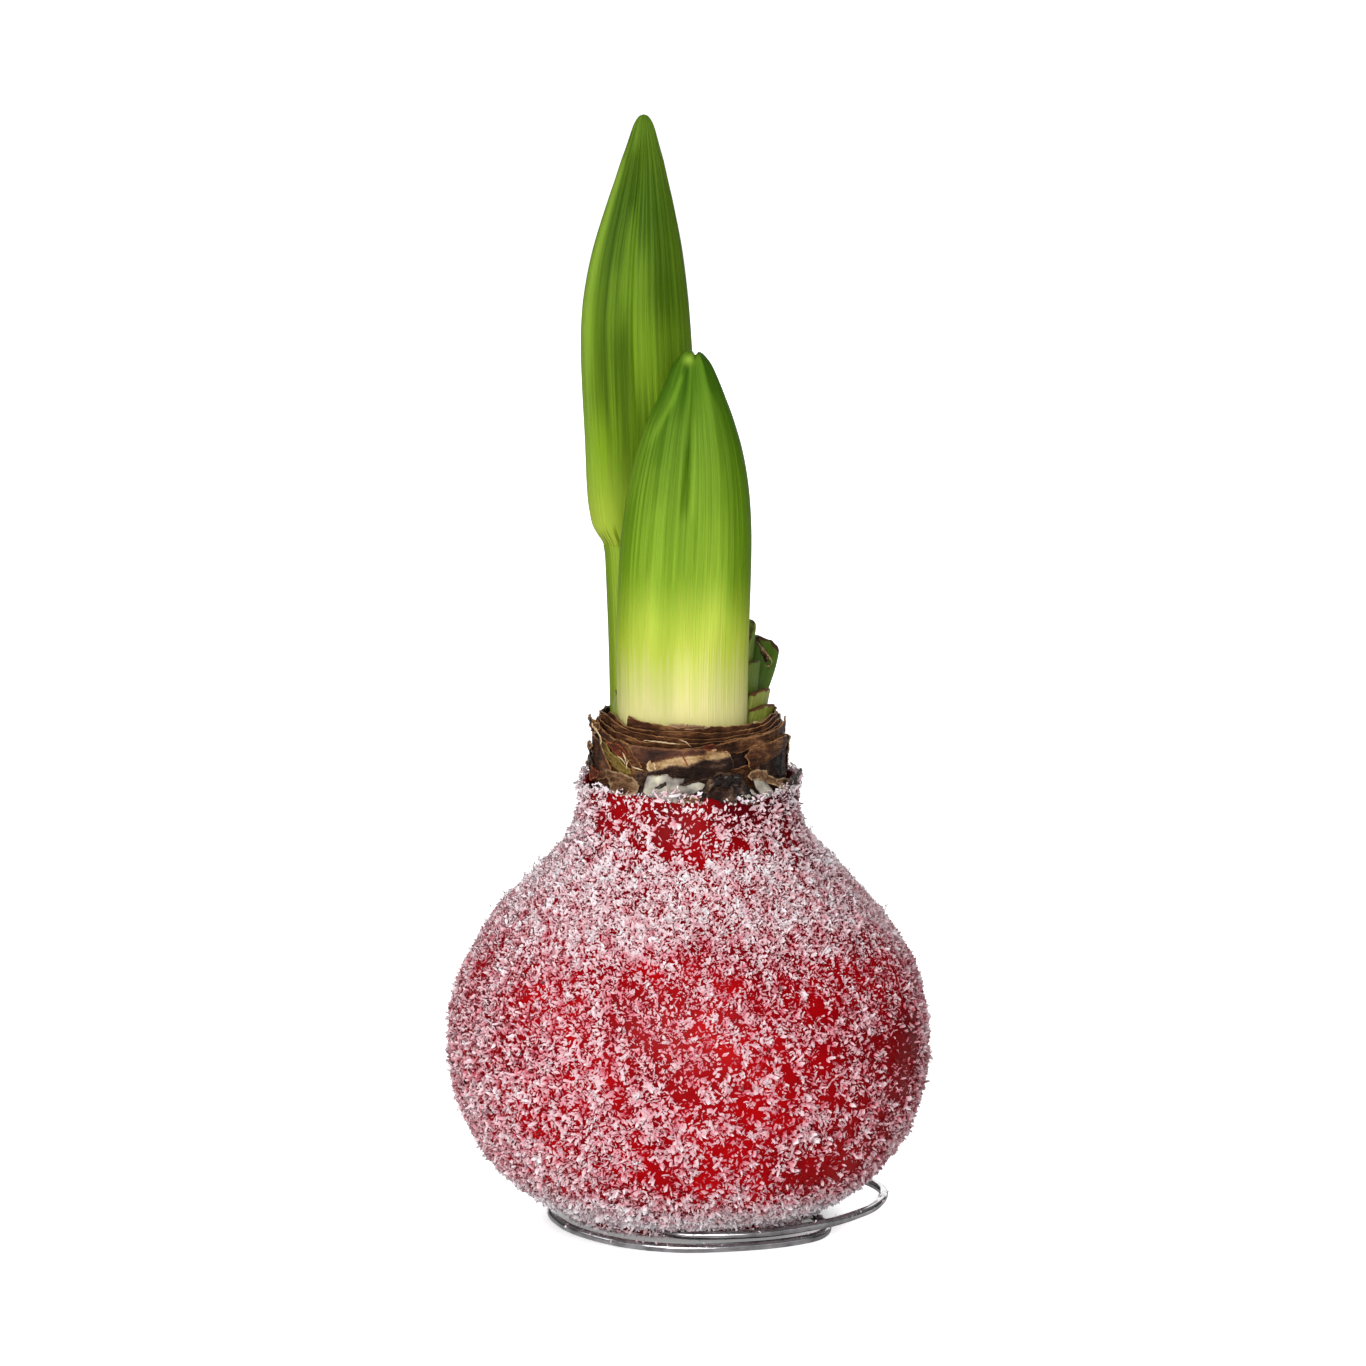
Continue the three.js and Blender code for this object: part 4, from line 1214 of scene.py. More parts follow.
for number, (name, (finish, shape)) in enumerate(BLADES.items()):
    rings, from_cut = blade_rings(seed=50 + number, **shape)
    slot = "green_leaf" if name.startswith("leaf") else "pale_scale"
    piece = make_piece(name + "_blade", *closed_body(rings), finish, slot=slot, replaces=(name,))
    below = np.repeat(from_cut, rings.shape[1])
    give(piece, "from_cut", np.concatenate([below, [from_cut[0], 0]]))
    round_it = np.tile(np.linspace(0, 6, rings.shape[1]), len(from_cut))
    grain = np.stack([round_it, 0 * below, below / 20], 1)
    give(piece, "grain", np.vstack([grain, [[0, 0, 1], [0, 0, 0]]]))

# %% [markdown]
# ## Papery tunics
#
# Dry brown skins wrap the neck, one inside another. Each has a torn, wrinkled top edge that
# stands a little above the next one out, so the neck shows a stack of fine lines. A sheet
# of quads round the neck takes wrinkles as moves in and out, and a solidify modifier gives
# it an edge that can be seen.

# %% Brown paper materials


def paper_material(name, dark, middle, light, roughness=(0.45, 0.75), wrinkle=0.3):
    """Dry skin: brown fibres along the grain, mottled stains, painted highlights and crevice shade.
    """
    material, nodes, shader = make_material(name, Specular_IOR_Level=0.22)
    grain = attribute(nodes, "grain", "Vector")
    fibre = use_group(nodes, streaks, Grain=grain, Across=1.0, Along=1.0)
    stain = use_group(nodes, mottle, Place=spot_on(nodes), Size=220.0)
    parts = ((fibre["Streak"], 0.3), (stain["Coarse"], 0.42), (fibre["Fine"], 0.25))
    mixed, stains, fine = (math_node(nodes, "MULTIPLY", mask, share) for mask, share in parts)
    for more in (stains, fine):
        mixed = math_node(nodes, "ADD", mixed, more)
    # Near a lip or a torn border the colour lightens: a painted highlight.
    edge = span(nodes, attribute(nodes, "edge"), 0.4, 1.0, 0.0, 0.45)
    mixed = math_node(nodes, "ADD", mixed, edge, clamp=True)
    brown = ramp(nodes, mixed, [(0.22, tint(*dark)), (0.52, tint(*middle)), (0.9, tint(*light))])
    # Just above the next sheet out the colour darkens: painted shade in the crevice.
    painted_crevice_shade = math_node(nodes, "MULTIPLY", attribute(nodes, "crevice"), 0.85)
    feed(nodes, shader, "Base Color", blend(nodes, painted_crevice_shade, brown, tint(20, 11, 7)))
    feed(nodes, shader, "Roughness", span(nodes, stain["Fine"], 0, 1, *roughness))
    bump_from(nodes, shader, math_node(nodes, "ADD", fibre["Fine"], fibre["Streak"]), wrinkle)
    return material


paper_brown = paper_material("paper_brown", (32, 13, 3), (94, 54, 27), (184, 132, 84), (0.35, 0.6))

# %% Tunic leaves round the neck
LEAVES = [  # CAD node, radius, level of the top edge behind, top edge along the front
    ("tunic_1", 16.95, 101.9, [(-160, 98), (-137, 99), (-134.9, 103.2), (-127.8, 102.5),
        (-120.6, 102.2), (-113.3, 102), (-106.3, 101.8), (-96.3, 101.7), (-83.1, 101.6),
        (-58.7, 101.5), (-36, 101.4), (-27, 101.9), (-20.2, 102.3)]),
    ("tunic_1", 17.3, 101.6, [(-170, 102.4), (-160.5, 102.5), (-152.2, 103.2), (-147.9, 102.9),
        (-141.4, 101.9), (-138.5, 101.4), (-133.7, 100.9), (-117.8, 100.8), (-92.9, 100.8),
        (-83.3, 100.6), (-75.4, 100.2), (-59.4, 100.5), (-47.9, 100.5), (-37.6, 100.7),
        (-25.9, 101.2), (-19.5, 101.8)]),
    ("tunic_2", 17.65, 101, [(-168.8, 101.9), (-159.2, 102.4), (-150.1, 102.1), (-143.1, 101.4),
        (-137.1, 100.8), (-130.9, 100.3), (-123.5, 100.1), (-109.9, 99.9), (-102.8, 99.6),
        (-88.8, 99.4), (-79.4, 99.2), (-67.1, 99.4), (-51.9, 99.7), (-35.2, 99.9), (-26.2, 100.2),
        (-16.7, 101.1)]),
    ("tunic_2", 18.0, 100.3, [(-179, 100.9), (-168.6, 101.3), (-158, 100.8), (-149.4, 100.2),
        (-141.6, 99.7), (-131.1, 99.3), (-126.8, 99.1), (-122.3, 98.6), (-111.2, 98.7),
        (-95.9, 98.5), (-83.6, 98.6), (-67.6, 98.8), (-60.7, 99.2), (-44.1, 99.3), (-28.1, 99.7),
        (-16.1, 100.1)]),
    ("tunic_3", 18.35, 99.4, [(-179, 100.5), (-167.5, 100.9), (-160.4, 99.7), (-152.5, 98.9),
        (-145.3, 98.4), (-133.9, 98.2), (-129.6, 97.8), (-110.9, 97.6), (-95.8, 97.4), (-80, 98),
        (-64.7, 98.5), (-45.3, 99), (-23.1, 99.3), (-12.8, 99.7)]),
    ("tunic_4", 18.62, 97.8, [(-179, 98.2), (-166, 96.8), (-152, 95.4), (-136, 93.4), (-118, 92.9),
        (-96, 92.6), (-70, 92.8), (-48, 94.2), (-30, 96.6), (-12, 98.4)]),
]  # fmt: skip
BEHIND = [(25, 0.2), (60, 0), (100, -0.2), (140, 0.1), (165, 0.3)]  # angle, above the level
COLUMNS = 420
SHEET_FOOT = 87.0
turn = np.linspace(-np.pi, np.pi, COLUMNS, endpoint=False)
edges = []
for number, (_, radius, behind, front) in enumerate(LEAVES):
    known = [*front, *((at, behind + more) for at, more in BEHIND)]
    at, level = np.array(known).T
    ring = around(radius, turn, 0.0)
    rear = fade(ring[:, 1], -4, 6)
    edge = np.interp(np.degrees(turn), at, level, period=360)
    edge += (0.05 + 0.2 * rear) * ripple(ring, 6, 21 + number)
    edge += (
        (0.07 + 0.05 * rear) * ripple(ring, 1.5, 61 + number)
        + 0.04 * ripple(ring, 0.6, 101 + number)
    )
    edges.append(edge)
edges.append(np.full(COLUMNS, SHEET_FOOT))
sheets = {}
for number, (node, radius, _, _) in enumerate(LEAVES):
    ring, edge = around(radius, turn, 0.0), edges[number]
    covered = np.minimum(edges[number + 1] - 0.5, edge - 0.6)
    rise = np.linspace(0, 1, 15)[:, None] ** 0.8
    low = np.full(COLUMNS, SHEET_FOOT)
    z = np.vstack([low, (low + covered) / 2, covered + (edge - covered) * rise])
    on = np.stack(np.broadcast_arrays(ring[:, 0], ring[:, 1], z * 0.5), -1)
    push = 0.06 * ripple(on, 3.0, 201 + number) + 0.04 * ripple(on, 1.1, 221 + number)
    push = push + np.exp((z - edge) / 0.6) * (0.12 + 0.16 * ripple(ring, 4, 241 + number))
    # Each sheet carries a painted highlight along its lip and painted shade just above the next
    # sheet's edge.
    sheets.setdefault(node, []).append((
        around(radius + push, turn, z),
        np.exp((z - edge) / 0.12),
        np.exp(-np.maximum(z - edges[number + 1], 0) / 0.16),
    ))
for node, leaves in sheets.items():
    points, lip_highlights, crevice_shades = (np.stack(part) for part in zip(*leaves, strict=True))
    rows_up, size = points.shape[1], points.shape[1] * COLUMNS
    one = np.array(grid_faces(rows_up, COLUMNS, True))
    faces = np.concatenate([one + i * size for i in range(len(leaves))]).tolist()
    vertices = points.reshape(-1, 3)
    piece = make_piece(node + "_leaves", vertices, faces, paper_brown, slot="papery_tunic",
        replaces=(node,))
    give(piece, "edge", lip_highlights.ravel())
    give(piece, "crevice", crevice_shades.ravel())
    give(piece, "grain", vertices * (0.25, 0.25, 1.7))
    thicken(piece, 0.2)

# %% [markdown]
# ## Torn scraps of tunic
#
# Outside the whole tunics the neck wears scraps: a smooth maroon panel, a straw-coloured
# window, flaps that lift and curl. Each is cut to an outline of angle and height, filled
# with triangles, torn at its border and bent round the neck.

# %% Fill an outline and bend it round the neck


def torn_border(outline, step, ragged, rng):
    """The outline with points a step apart, each moved a little off it."""
    points = []
    for a, b in zip(outline, np.roll(outline, -1, axis=0), strict=True):
        count = max(1, round(float(np.linalg.norm(b - a)) / step))
        across = np.array([a[1] - b[1], b[0] - a[0]]) / max(np.linalg.norm(b - a), 1e-6)
        for k in range(count):
            points.append(a + (b - a) * k / count + across * rng.normal(0, ragged) * (k > 0))
    return np.array(points)


def inside_of(points, border):
    """Which points lie inside a closed border."""
    x, y = points[:, :1], points[:, 1:]
    ax, ay = border.T
    bx, by = np.roll(border, -1, axis=0).T
    crosses = ((ay > y) != (by > y)) & (x < (bx - ax) * (y - ay) / (by - ay + 1e-12) + ax)
    return crosses.sum(1) % 2 == 1


def distance_to(points, border):
    """How far each point is from a closed border."""
    a, b = border, np.roll(border, -1, axis=0)
    run = b - a
    t = ((points[:, None] - a) * run).sum(-1) / np.maximum((run * run).sum(-1), 1e-9)
    nearest = a + run * np.clip(t, 0, 1)[..., None]
    return np.linalg.norm(points[:, None] - nearest, axis=-1).min(1)


EDGE_REACH = 0.35


def scrap(outline, radius, seed, step=0.34, ragged=0.07, lift=0.25, wave=0.12, rolls=(), tilt=0.0,
        drape=0.0):
    """A torn scrap, as (vertices, faces, edge, grain). rolls are (from, to, height, width)."""
    rng = np.random.default_rng(seed)
    flat = np.array([(np.radians(a) * radius, z) for a, z in outline])
    border = torn_border(flat, step, ragged, rng)
    low, high = border.min(0), border.max(0)
    grid = np.array([
        (x + (row % 2) * step / 2, y)
        for row, y in enumerate(np.arange(low[1], high[1], step * 0.87))
        for x in np.arange(low[0], high[0], step)
    ])
    grid = grid[inside_of(grid, border)]
    grid = grid[distance_to(grid, border) > step * 0.55]
    everything = np.vstack([border, grid])
    loop = list(range(len(border)))
    filled = delaunay_2d_cdt([Vector(p) for p in everything], [], [loop], 1, 1e-5)
    points = np.array([(p.x, p.y) for p in filled[0]])
    off = distance_to(points, border)
    out = wave * ripple(points, 2.6, seed + 1) + 0.5 * wave * ripple(points, 1.0, seed + 2)
    out = out + lift * np.exp(-off / 0.7) * (0.45 + 0.55 * ripple(points, 3.5, seed + 3))
    out = out + tilt * (points[:, 1] - low[1]) / (high[1] - low[1])
    out = out + drape * (1 - fade(points[:, 1], 88.4, 90.6))
    for (a0, z0), (a1, z1), height, width in rolls:
        ends = np.array([[np.radians(a0) * radius, z0], [np.radians(a1) * radius, z1]])
        run = ends[1] - ends[0]
        t = np.clip(((points - ends[0]) @ run) / (run @ run), 0, 1)
        away = np.linalg.norm(points - ends[0] - t[:, None] * run, axis=1)
        out = out + height * np.sqrt(np.clip(1 - (away / width) ** 2, 0, 1))
    vertices = around(radius + out, points[:, 0] / radius, points[:, 1])
    return vertices, [list(f) for f in filled[2]], np.exp(-off / EDGE_REACH), points


def join_scraps(name, scraps, material, slot="papery_tunic", replaces=(), thickness=0.22):
    """One piece from several scraps."""
    vertices, faces, edge, grain = [], [], [], []
    for points, polygons, near, flat in scraps:
        start = sum(len(v) for v in vertices)
        faces += [[i + start for i in f] for f in polygons]
        vertices.append(points)
        edge.append(near)
        grain.append(np.column_stack([flat[:, 0] * 0.5, np.zeros(len(flat)), flat[:, 1] * 1.3]))
    piece = make_piece(name, np.vstack(vertices), faces, material, slot=slot, replaces=replaces)
    give(piece, "edge", np.concatenate(edge))
    give(piece, "grain", np.vstack(grain))
    thicken(piece, thickness)
    return piece


# %% Scraps on the front, from the left to the right
paper_maroon = paper_material("paper_maroon", (38, 14, 6), (80, 43, 25), (138, 94, 64), (0.3, 0.5),
    0.1)
paper_straw = paper_material("paper_straw", (122, 84, 46), (198, 162, 114), (236, 208, 164),
    (0.5, 0.7), 0.15)
paper_tan = paper_material("paper_tan", (54, 27, 10), (126, 89, 58), (192, 157, 120))
paper_dusk = paper_material("paper_dusk", (20, 8, 3), (50, 29, 19), (126, 97, 78), (0.35, 0.6),
    0.25)
paper_olive = paper_material("paper_olive", (50, 28, 6), (118, 90, 34), (168, 146, 72))
paper_rust = paper_material("paper_rust", (50, 15, 3), (106, 45, 21), (176, 96, 60))


def sliver(path, radius, width, seed, **kind):
    """A thin torn strip along a path of (angle, height)."""
    path = np.array(path, float)
    ahead = np.gradient(path, axis=0) * (np.pi / 180 * radius, 1)
    ahead /= np.linalg.norm(ahead, axis=1)[:, None]
    across = np.stack([-ahead[:, 1], ahead[:, 0]], 1) / (np.pi / 180 * radius, 1)
    half = width / 2 * np.sin(np.linspace(0.25, np.pi - 0.15, len(path)))[:, None]
    return scrap([*(path + across * half), *(path - across * half)[::-1]], radius, seed, step=0.2,
        ragged=0.02, **kind)


join_scraps("neck_maroon_panel", [
    scrap([(-128.3, 97.9), (-120.2, 97.7), (-110.4, 97.7), (-102, 97.5), (-86.8, 97.6),
        (-80.3, 97.6), (-80.5, 96.4), (-95.6, 96.2), (-104.2, 95.5), (-110.4, 94.9), (-114, 94.2),
        (-121.6, 94.6), (-124.6, 95.5), (-126.8, 96.8)], 18.95, 201, lift=0.08, wave=0.06),
], paper_maroon)  # fmt: skip
join_scraps("neck_straw_window", [
    scrap([(-114.3, 94.4), (-113.4, 95.2), (-110.5, 95.8), (-104.8, 96.5), (-95.7, 97.2),
        (-83.8, 97.4), (-74, 97.5), (-66.4, 96.8), (-64.2, 95.7), (-67.7, 95.0), (-75.3, 94.8),
        (-84.4, 94.3), (-89.7, 93.5), (-100, 93.5), (-105.4, 93.2), (-111.5, 93.0)], 18.78, 202,
        lift=0.06, wave=0.05),
    scrap([(-115.5, 93.6), (-114.6, 95.0), (-112.8, 95.3), (-110.4, 94.6), (-110.8, 93.2),
        (-113.4, 92.8)], 19.05, 212, lift=0.4, wave=0.2),
], paper_straw)  # fmt: skip
join_scraps("torn_front_flaps", [
    scrap([(-117.5, 92.6), (-112.4, 93.1), (-107.4, 93.6), (-99.7, 94.5), (-91.5, 94.2),
        (-84.3, 95.4), (-80.2, 95.5), (-72.5, 95.5), (-65.3, 96.0), (-63.5, 94.4), (-63.5, 93.4),
        (-73.2, 92.6), (-75.9, 92.0), (-80.4, 91.8), (-84.3, 91.3), (-89.7, 91.0), (-93.5, 90.5),
        (-95.6, 90.9), (-93.2, 91.6), (-99.7, 92.3), (-104.8, 92.5), (-116.9, 92.0)], 19.15, 203,
        lift=0.25, wave=0.12, rolls=[((-112, 92.6), (-66, 94.4), 0.3, 1.2)]),
    scrap([(-78.8, 90.8), (-72.9, 90.9), (-65.2, 90.2), (-64.2, 87.4), (-68, 86.5), (-77, 86.9),
        (-82.8, 87.5)], 19.6, 231, lift=0.1, drape=1.6),
    scrap([(-124, 92.6), (-114, 92.6), (-98, 92.0), (-84, 91.6), (-70, 92.6), (-60, 92.4),
        (-58, 88.4), (-80, 88), (-104, 88), (-124, 88.6)], 18.85, 204, lift=0.1),
], paper_dusk, replaces=("torn_tunic_front",))  # fmt: skip
join_scraps("torn_right_flaps", [
    scrap([(-56.4, 95.6), (-53.9, 96.3), (-51.6, 97.0), (-47.3, 97.2), (-38.1, 97.6),
        (-25.7, 98.1), (-7.6, 98.0), (-0.9, 95.3), (-22.7, 95.1), (-34.1, 94.3), (-42.6, 93.3),
        (-47.6, 92.6), (-51.4, 92.8), (-53.4, 93.6), (-54.2, 94.7)], 18.8, 205, lift=0.1,
        wave=0.08, rolls=[((-52, 94.9), (-12, 97.2), 0.75, 1.9)]),
    scrap([(-80.5, 98.0), (-73.2, 98.4), (-65.7, 98.8), (-57.7, 99.2), (-47.2, 99.3),
        (-38.5, 99.5), (-27.5, 99.8), (-15.9, 100.1), (-5, 100.8), (1, 101.1), (6, 100.5),
        (2.5, 99.8), (7, 99.0), (1, 98.2), (-10.3, 98.1), (-24.9, 97.9), (-40.7, 97.5),
        (-49.1, 97.3), (-57.6, 96.4), (-66.1, 96.5), (-73.8, 96.8), (-80.5, 97.2)], 18.8, 206,
        lift=0.12, wave=0.08),
], paper_brown, replaces=("torn_tunic_right",))  # fmt: skip
join_scraps("neck_right_panel", [
    scrap([(-18, 97.7), (4, 97.2), (12, 95), (10, 90), (-0.9, 89.6), (-13.1, 88.8), (-33.6, 90.7),
        (-46.4, 92.3), (-42.1, 94.5), (-32.3, 95.6)], 18.9, 207, lift=0.1, wave=0.08),
    scrap([(-67.4, 97.1), (-51, 96.9), (-51, 93.7), (-53.3, 92.2), (-64.7, 92.6)], 18.5, 208,
        lift=0.0),
], paper_dusk)  # fmt: skip
join_scraps("torn_left_flaps", [
    scrap([(172, 97.2), (180, 98.3), (192, 97.9), (202.4, 97.5), (206.7, 96.1), (210.4, 94.7),
        (213.8, 93.7), (216.8, 92.3), (213.7, 90.5), (203.8, 89.8), (191.7, 89.6), (178, 90.4),
        (168, 92)], 19.05, 209, lift=0.2, wave=0.1),
    scrap([(196, 100.7), (206.3, 99.6), (215.8, 98.7), (223.4, 98.4), (230.8, 97.9), (233.1, 96.8),
        (235.3, 95.5), (238.2, 94.6), (240.3, 93.5), (236, 92.4), (233.1, 93.6), (228.4, 95.2),
        (225.1, 96.1), (219.8, 97.1), (211.4, 97.7), (201.7, 98.0), (193.5, 99.0)], 18.75, 210,
        lift=0.12, wave=0.08),
    scrap([(178, 99.2), (176, 100.0), (180, 100.8), (186, 100.9), (190.6, 101.9), (194, 101.2),
        (198.8, 101.3), (201.5, 100.9), (207.3, 101.2), (206, 100.4), (202, 99.0), (192, 98.6),
        (182, 98.6)], 19.2, 211, lift=0.4, wave=0.2, tilt=0.5),
], paper_brown, replaces=("torn_tunic_left",))  # fmt: skip
join_scraps("neck_olive_strips", [
    scrap([(-157.9, 97.7), (-152.2, 97.5), (-148.5, 97.1), (-145.2, 96.1), (-140.3, 95.3),
        (-135.8, 94.7), (-132.8, 93.8), (-127.8, 93.1), (-126.8, 92.2), (-131.1, 91.6),
        (-138.4, 92.8), (-146.7, 94.2), (-154.1, 95.8)], 19.05, 221, lift=0.1, wave=0.06),
], paper_olive)  # fmt: skip
join_scraps("neck_rust_patches", [
    scrap([(-150.2, 97.6), (-143.6, 97.6), (-136.1, 97.6), (-130.8, 96.1), (-131.4, 95.2),
        (-136.1, 95.1), (-141.3, 95.9), (-146.7, 96.8)], 18.92, 224, lift=0.1),
    scrap([(-82, 98.3), (-76, 98.6), (-74.6, 97.7), (-78, 97.3), (-81.6, 97.5)], 19.1, 225,
        lift=0.15),
    scrap([(181, 90.6), (184, 91.4), (191.9, 91.9), (200.9, 91.2), (200.3, 89.9), (187.8, 88.6),
        (180, 89.2)], 19.4, 226, lift=0.3, wave=0.2),
    sliver([(-94.4, 96.4), (-92.6, 95.4), (-90.6, 94.2)], 18.95, 0.32, 227),
], paper_rust)  # fmt: skip
join_scraps("neck_tan_flaps", [
    scrap([(-148, 92.3), (-141.4, 92.2), (-134.4, 92.2), (-123.7, 91.4), (-119.4, 90.3),
        (-119.2, 89.0), (-125.4, 88.3), (-132.6, 88.3), (-139.3, 89.4), (-146.4, 91.0)], 19.4, 228,
        lift=0.3, wave=0.15, drape=2.0),
    scrap([(-96.1, 87.5), (-94.7, 88.7), (-92.1, 89.6), (-89.8, 89.1), (-87.4, 88.6),
        (-83.7, 87.9), (-84.3, 87.2), (-87.4, 86.7), (-89.8, 87.7), (-94.1, 87.3)], 20.6, 229,
        lift=0.4, wave=0.2, drape=0.9),
    scrap([(178, 95.0), (181, 96.0), (190, 96.7), (196, 96.0), (192, 95.2), (184, 94.4)], 19.7,
        230, lift=0.4, wave=0.2),
    scrap([(-56.1, 92.0), (-53, 92.6), (-50.1, 93.0), (-44.7, 92.7), (-39.7, 91.6), (-34.2, 90.6),
        (-29.5, 89.4), (-19.5, 88.3), (-26.9, 88.0), (-35.8, 89.2), (-43, 90.5), (-49.3, 91.1),
        (-53.7, 91.1)], 19.9, 232, lift=0.5, wave=0.3, drape=1.6),
    scrap([(-35.1, 90.3), (-28.6, 90.4), (-20.3, 89.7), (-1, 88.6), (-1, 87.5), (-14.3, 87.7),
        (-30.9, 89.0)], 20.2, 233, lift=0.4, wave=0.3),
    scrap([(-104, 102.2), (-96, 102.2), (-84, 102.0), (-76, 101.6), (-82, 101.2), (-92, 101.1),
        (-99, 101.4)], 17.15, 234, lift=0.12),
], paper_tan)  # fmt: skip
join_scraps("neck_pale_slivers", [
    sliver([(-167.8, 101.6), (-163.3, 99.9), (-157.2, 99.4), (-152.3, 98.4), (-151.8, 97.0)],
        19.75, 0.5, 241, lift=0.2),
    sliver([(-133, 96.2), (-130.5, 95.2), (-130, 94.2)], 19.1, 0.25, 242, lift=0.2),
    sliver([(-136, 95.4), (-133, 94.8), (-131.5, 93.8)], 19.15, 0.22, 243, lift=0.2),
    sliver([(-128, 94.8), (-129.5, 94.0), (-130.2, 93.0)], 19.15, 0.22, 244, lift=0.2),
    sliver([(-126, 93.6), (-122, 93.4), (-118, 93.2)], 19.1, 0.3, 245, lift=0.2),
    sliver([(-96, 99.5), (-92, 99.0), (-89, 98.0)], 18.75, 0.2, 246, lift=0.2),
    sliver([(-119, 98.9), (-110, 98.8), (-102, 98.6), (-96, 98.5)], 18.3, 0.25, 247, lift=0.1),
], paper_straw)  # fmt: skip

# %% [markdown]
# ## Dried curls
#
# A torn strip of the folded leaf dried and curled where it hangs from the cut edge. Three
# short tubes, flattened and wrinkled, stand for it, since a flat strip this thin would show
# as a line.

# %% Dried curls on the folded leaf
CURL_STEPS, CURL_SIDES = 40, 14
CURLS = [  # name, material, widest radius, points along the middle
    ("dried_curl_dark", paper_dusk, 0.5, [(13.3, 8.7, 115.4), (13.6, 8.6, 114.8),
        (14.1, 8.3, 113.6), (14.6, 8.0, 112.4), (15.0, 7.6, 111.2), (15.2, 7.3, 110.4)]),
    ("dried_curl_brown", paper_tan, 0.24, [(13.4, 8.0, 114.6), (14.2, 7.7, 113.5),
        (14.9, 7.4, 112.5), (15.3, 7.1, 111.6), (15.4, 6.9, 110.6)]),
    ("dried_curl_pale", paper_straw, 0.14, [(15.0, 7.2, 112.7), (15.8, 6.8, 111.6),
        (16.3, 6.5, 110.9), (16.0, 6.4, 110.1), (15.3, 6.6, 109.8), (14.8, 6.9, 110.1)]),
]
for number, (name, paper, widest, middle) in enumerate(CURLS):
    middle, steps = np.array(middle), np.linspace(0, len(middle) - 1, CURL_STEPS)
    path = np.stack([np.interp(steps, np.arange(len(middle)), middle[:, k]) for k in range(3)], 1)
    path[2:-2] = (path[:-4] + path[1:-3] + path[2:-2] + path[3:-1] + path[4:]) / 5
    taper = widest * np.sin(np.linspace(0.5, np.pi - 0.12, CURL_STEPS))
    taper *= 1 + 0.35 * ripple(path, 0.9, 60 + number)
    rings = swept_tube(path, taper, CURL_SIDES)
    wrinkle = 1 + 0.3 * ripple(rings, 0.45, 64 + number)[..., None]
    rings = path[:, None] + (rings - path[:, None]) * wrinkle * (1, 0.5, 1)
    piece = make_piece(name, *closed_body(rings), paper, slot="papery_tunic")
    points = np.array([v.co for v in piece.data.vertices]) / MM
    give(piece, "grain", points * (1, 1, 0.4))
    give(piece, "edge", np.clip(0.4 + 0.5 * ripple(points, 0.5, 68 + number), 0, 1))

# %% [markdown]
# ## Scraps round the back
#
# Behind, the neck wears scraps of the same kind, but none has a shape of its own to keep. A
# seed gives each its place, its size and its ragged outline, which is quicker than drawing
# them one by one.

# %% Scraps from a seed
rng = np.random.default_rng(31)
behind = []
BACK_SCRAPS, SCRAP_CORNERS = 13, 9
for number in range(BACK_SCRAPS):
    at, level = rng.uniform(6, 172), rng.uniform(90.4, 95.5)
    wide, tall = rng.uniform(7, 17), rng.uniform(1.6, 3.4)
    turn = np.linspace(0, 2 * np.pi, SCRAP_CORNERS, endpoint=False)
    reach = rng.uniform(0.7, 1.25, SCRAP_CORNERS)
    outline = np.stack([at + wide * reach * np.cos(turn), level + tall * reach * np.sin(turn)], 1)
    behind.append(scrap(outline, 19.0 + 0.07 * number, 300 + number, lift=0.3, wave=0.12))
join_scraps("neck_scraps_back", behind[::2], paper_tan)
join_scraps("neck_scraps_back_dark", behind[1::2], paper_dusk)

# %% [markdown]
# ## Cut neck
#
# Seen from above, the neck's cut face is ringed by the edges of its scales. The solid bulb
# keeps its shape and takes a new material, and thin concentric scales stand on it, wherever
# they are clear of the stalks.

# %% Bulb flesh and standing scales
flesh, nodes, shader = make_material("bulb_flesh", Specular_IOR_Level=0.4)
spot = spot_on(nodes)
where = place(nodes, "SeparateXYZ", {"Vector": spot})
x_squared, y_squared = (math_node(nodes, "POWER", where.outputs[axis], 2.0) for axis in "XY")
radius_of = math_node(nodes, "SQRT", math_node(nodes, "ADD", x_squared, y_squared))
spots = use_group(nodes, mottle, Place=spot, Size=260.0)
by_radius = math_node(nodes, "MULTIPLY", radius_of, 4200.0)
wavy = math_node(nodes, "ADD", by_radius, math_node(nodes, "MULTIPLY", spots["Coarse"], 3.0))
banded = span(nodes, math_node(nodes, "SINE", wavy), -1, 1)
cream = ramp(nodes, banded, [(0.0, tint(112, 92, 40)), (0.4, tint(160, 150, 78)),
    (1.0, tint(204, 198, 130))])
stained = blend(nodes, spots["Fine"], cream, tint(120, 84, 48), "MULTIPLY")
feed(nodes, shader, "Base Color", stained)
feed(nodes, shader, "Roughness", span(nodes, spots["Fine"], 0, 1, 0.5, 0.8))
bump_from(nodes, shader, banded, 0.3)
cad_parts["bulb"].material_slots[0].material = flesh


def clear_of_stalks(points):
    """Which points of the neck's face are clear of both stalks and of the leaf fan."""
    front = ((points[:, 0] + 1.4) / 13.6) ** 2 + ((points[:, 1] + 7.3) / 8.6) ** 2
    rear = ((points[:, 0] + 7.7) / 8.6) ** 2 + ((points[:, 1] - 4.8) / 6.1) ** 2
    fan = np.hypot(points[:, 0] - 8.2, points[:, 1] - 3.8) / 9.6
    left = (np.abs(np.hypot(points[:, 0], points[:, 1]) - 15.6) > 0.9) | (points[:, 0] > -13.6)
    return (front > 1) & (rear > 1) & (fan > 1) & left


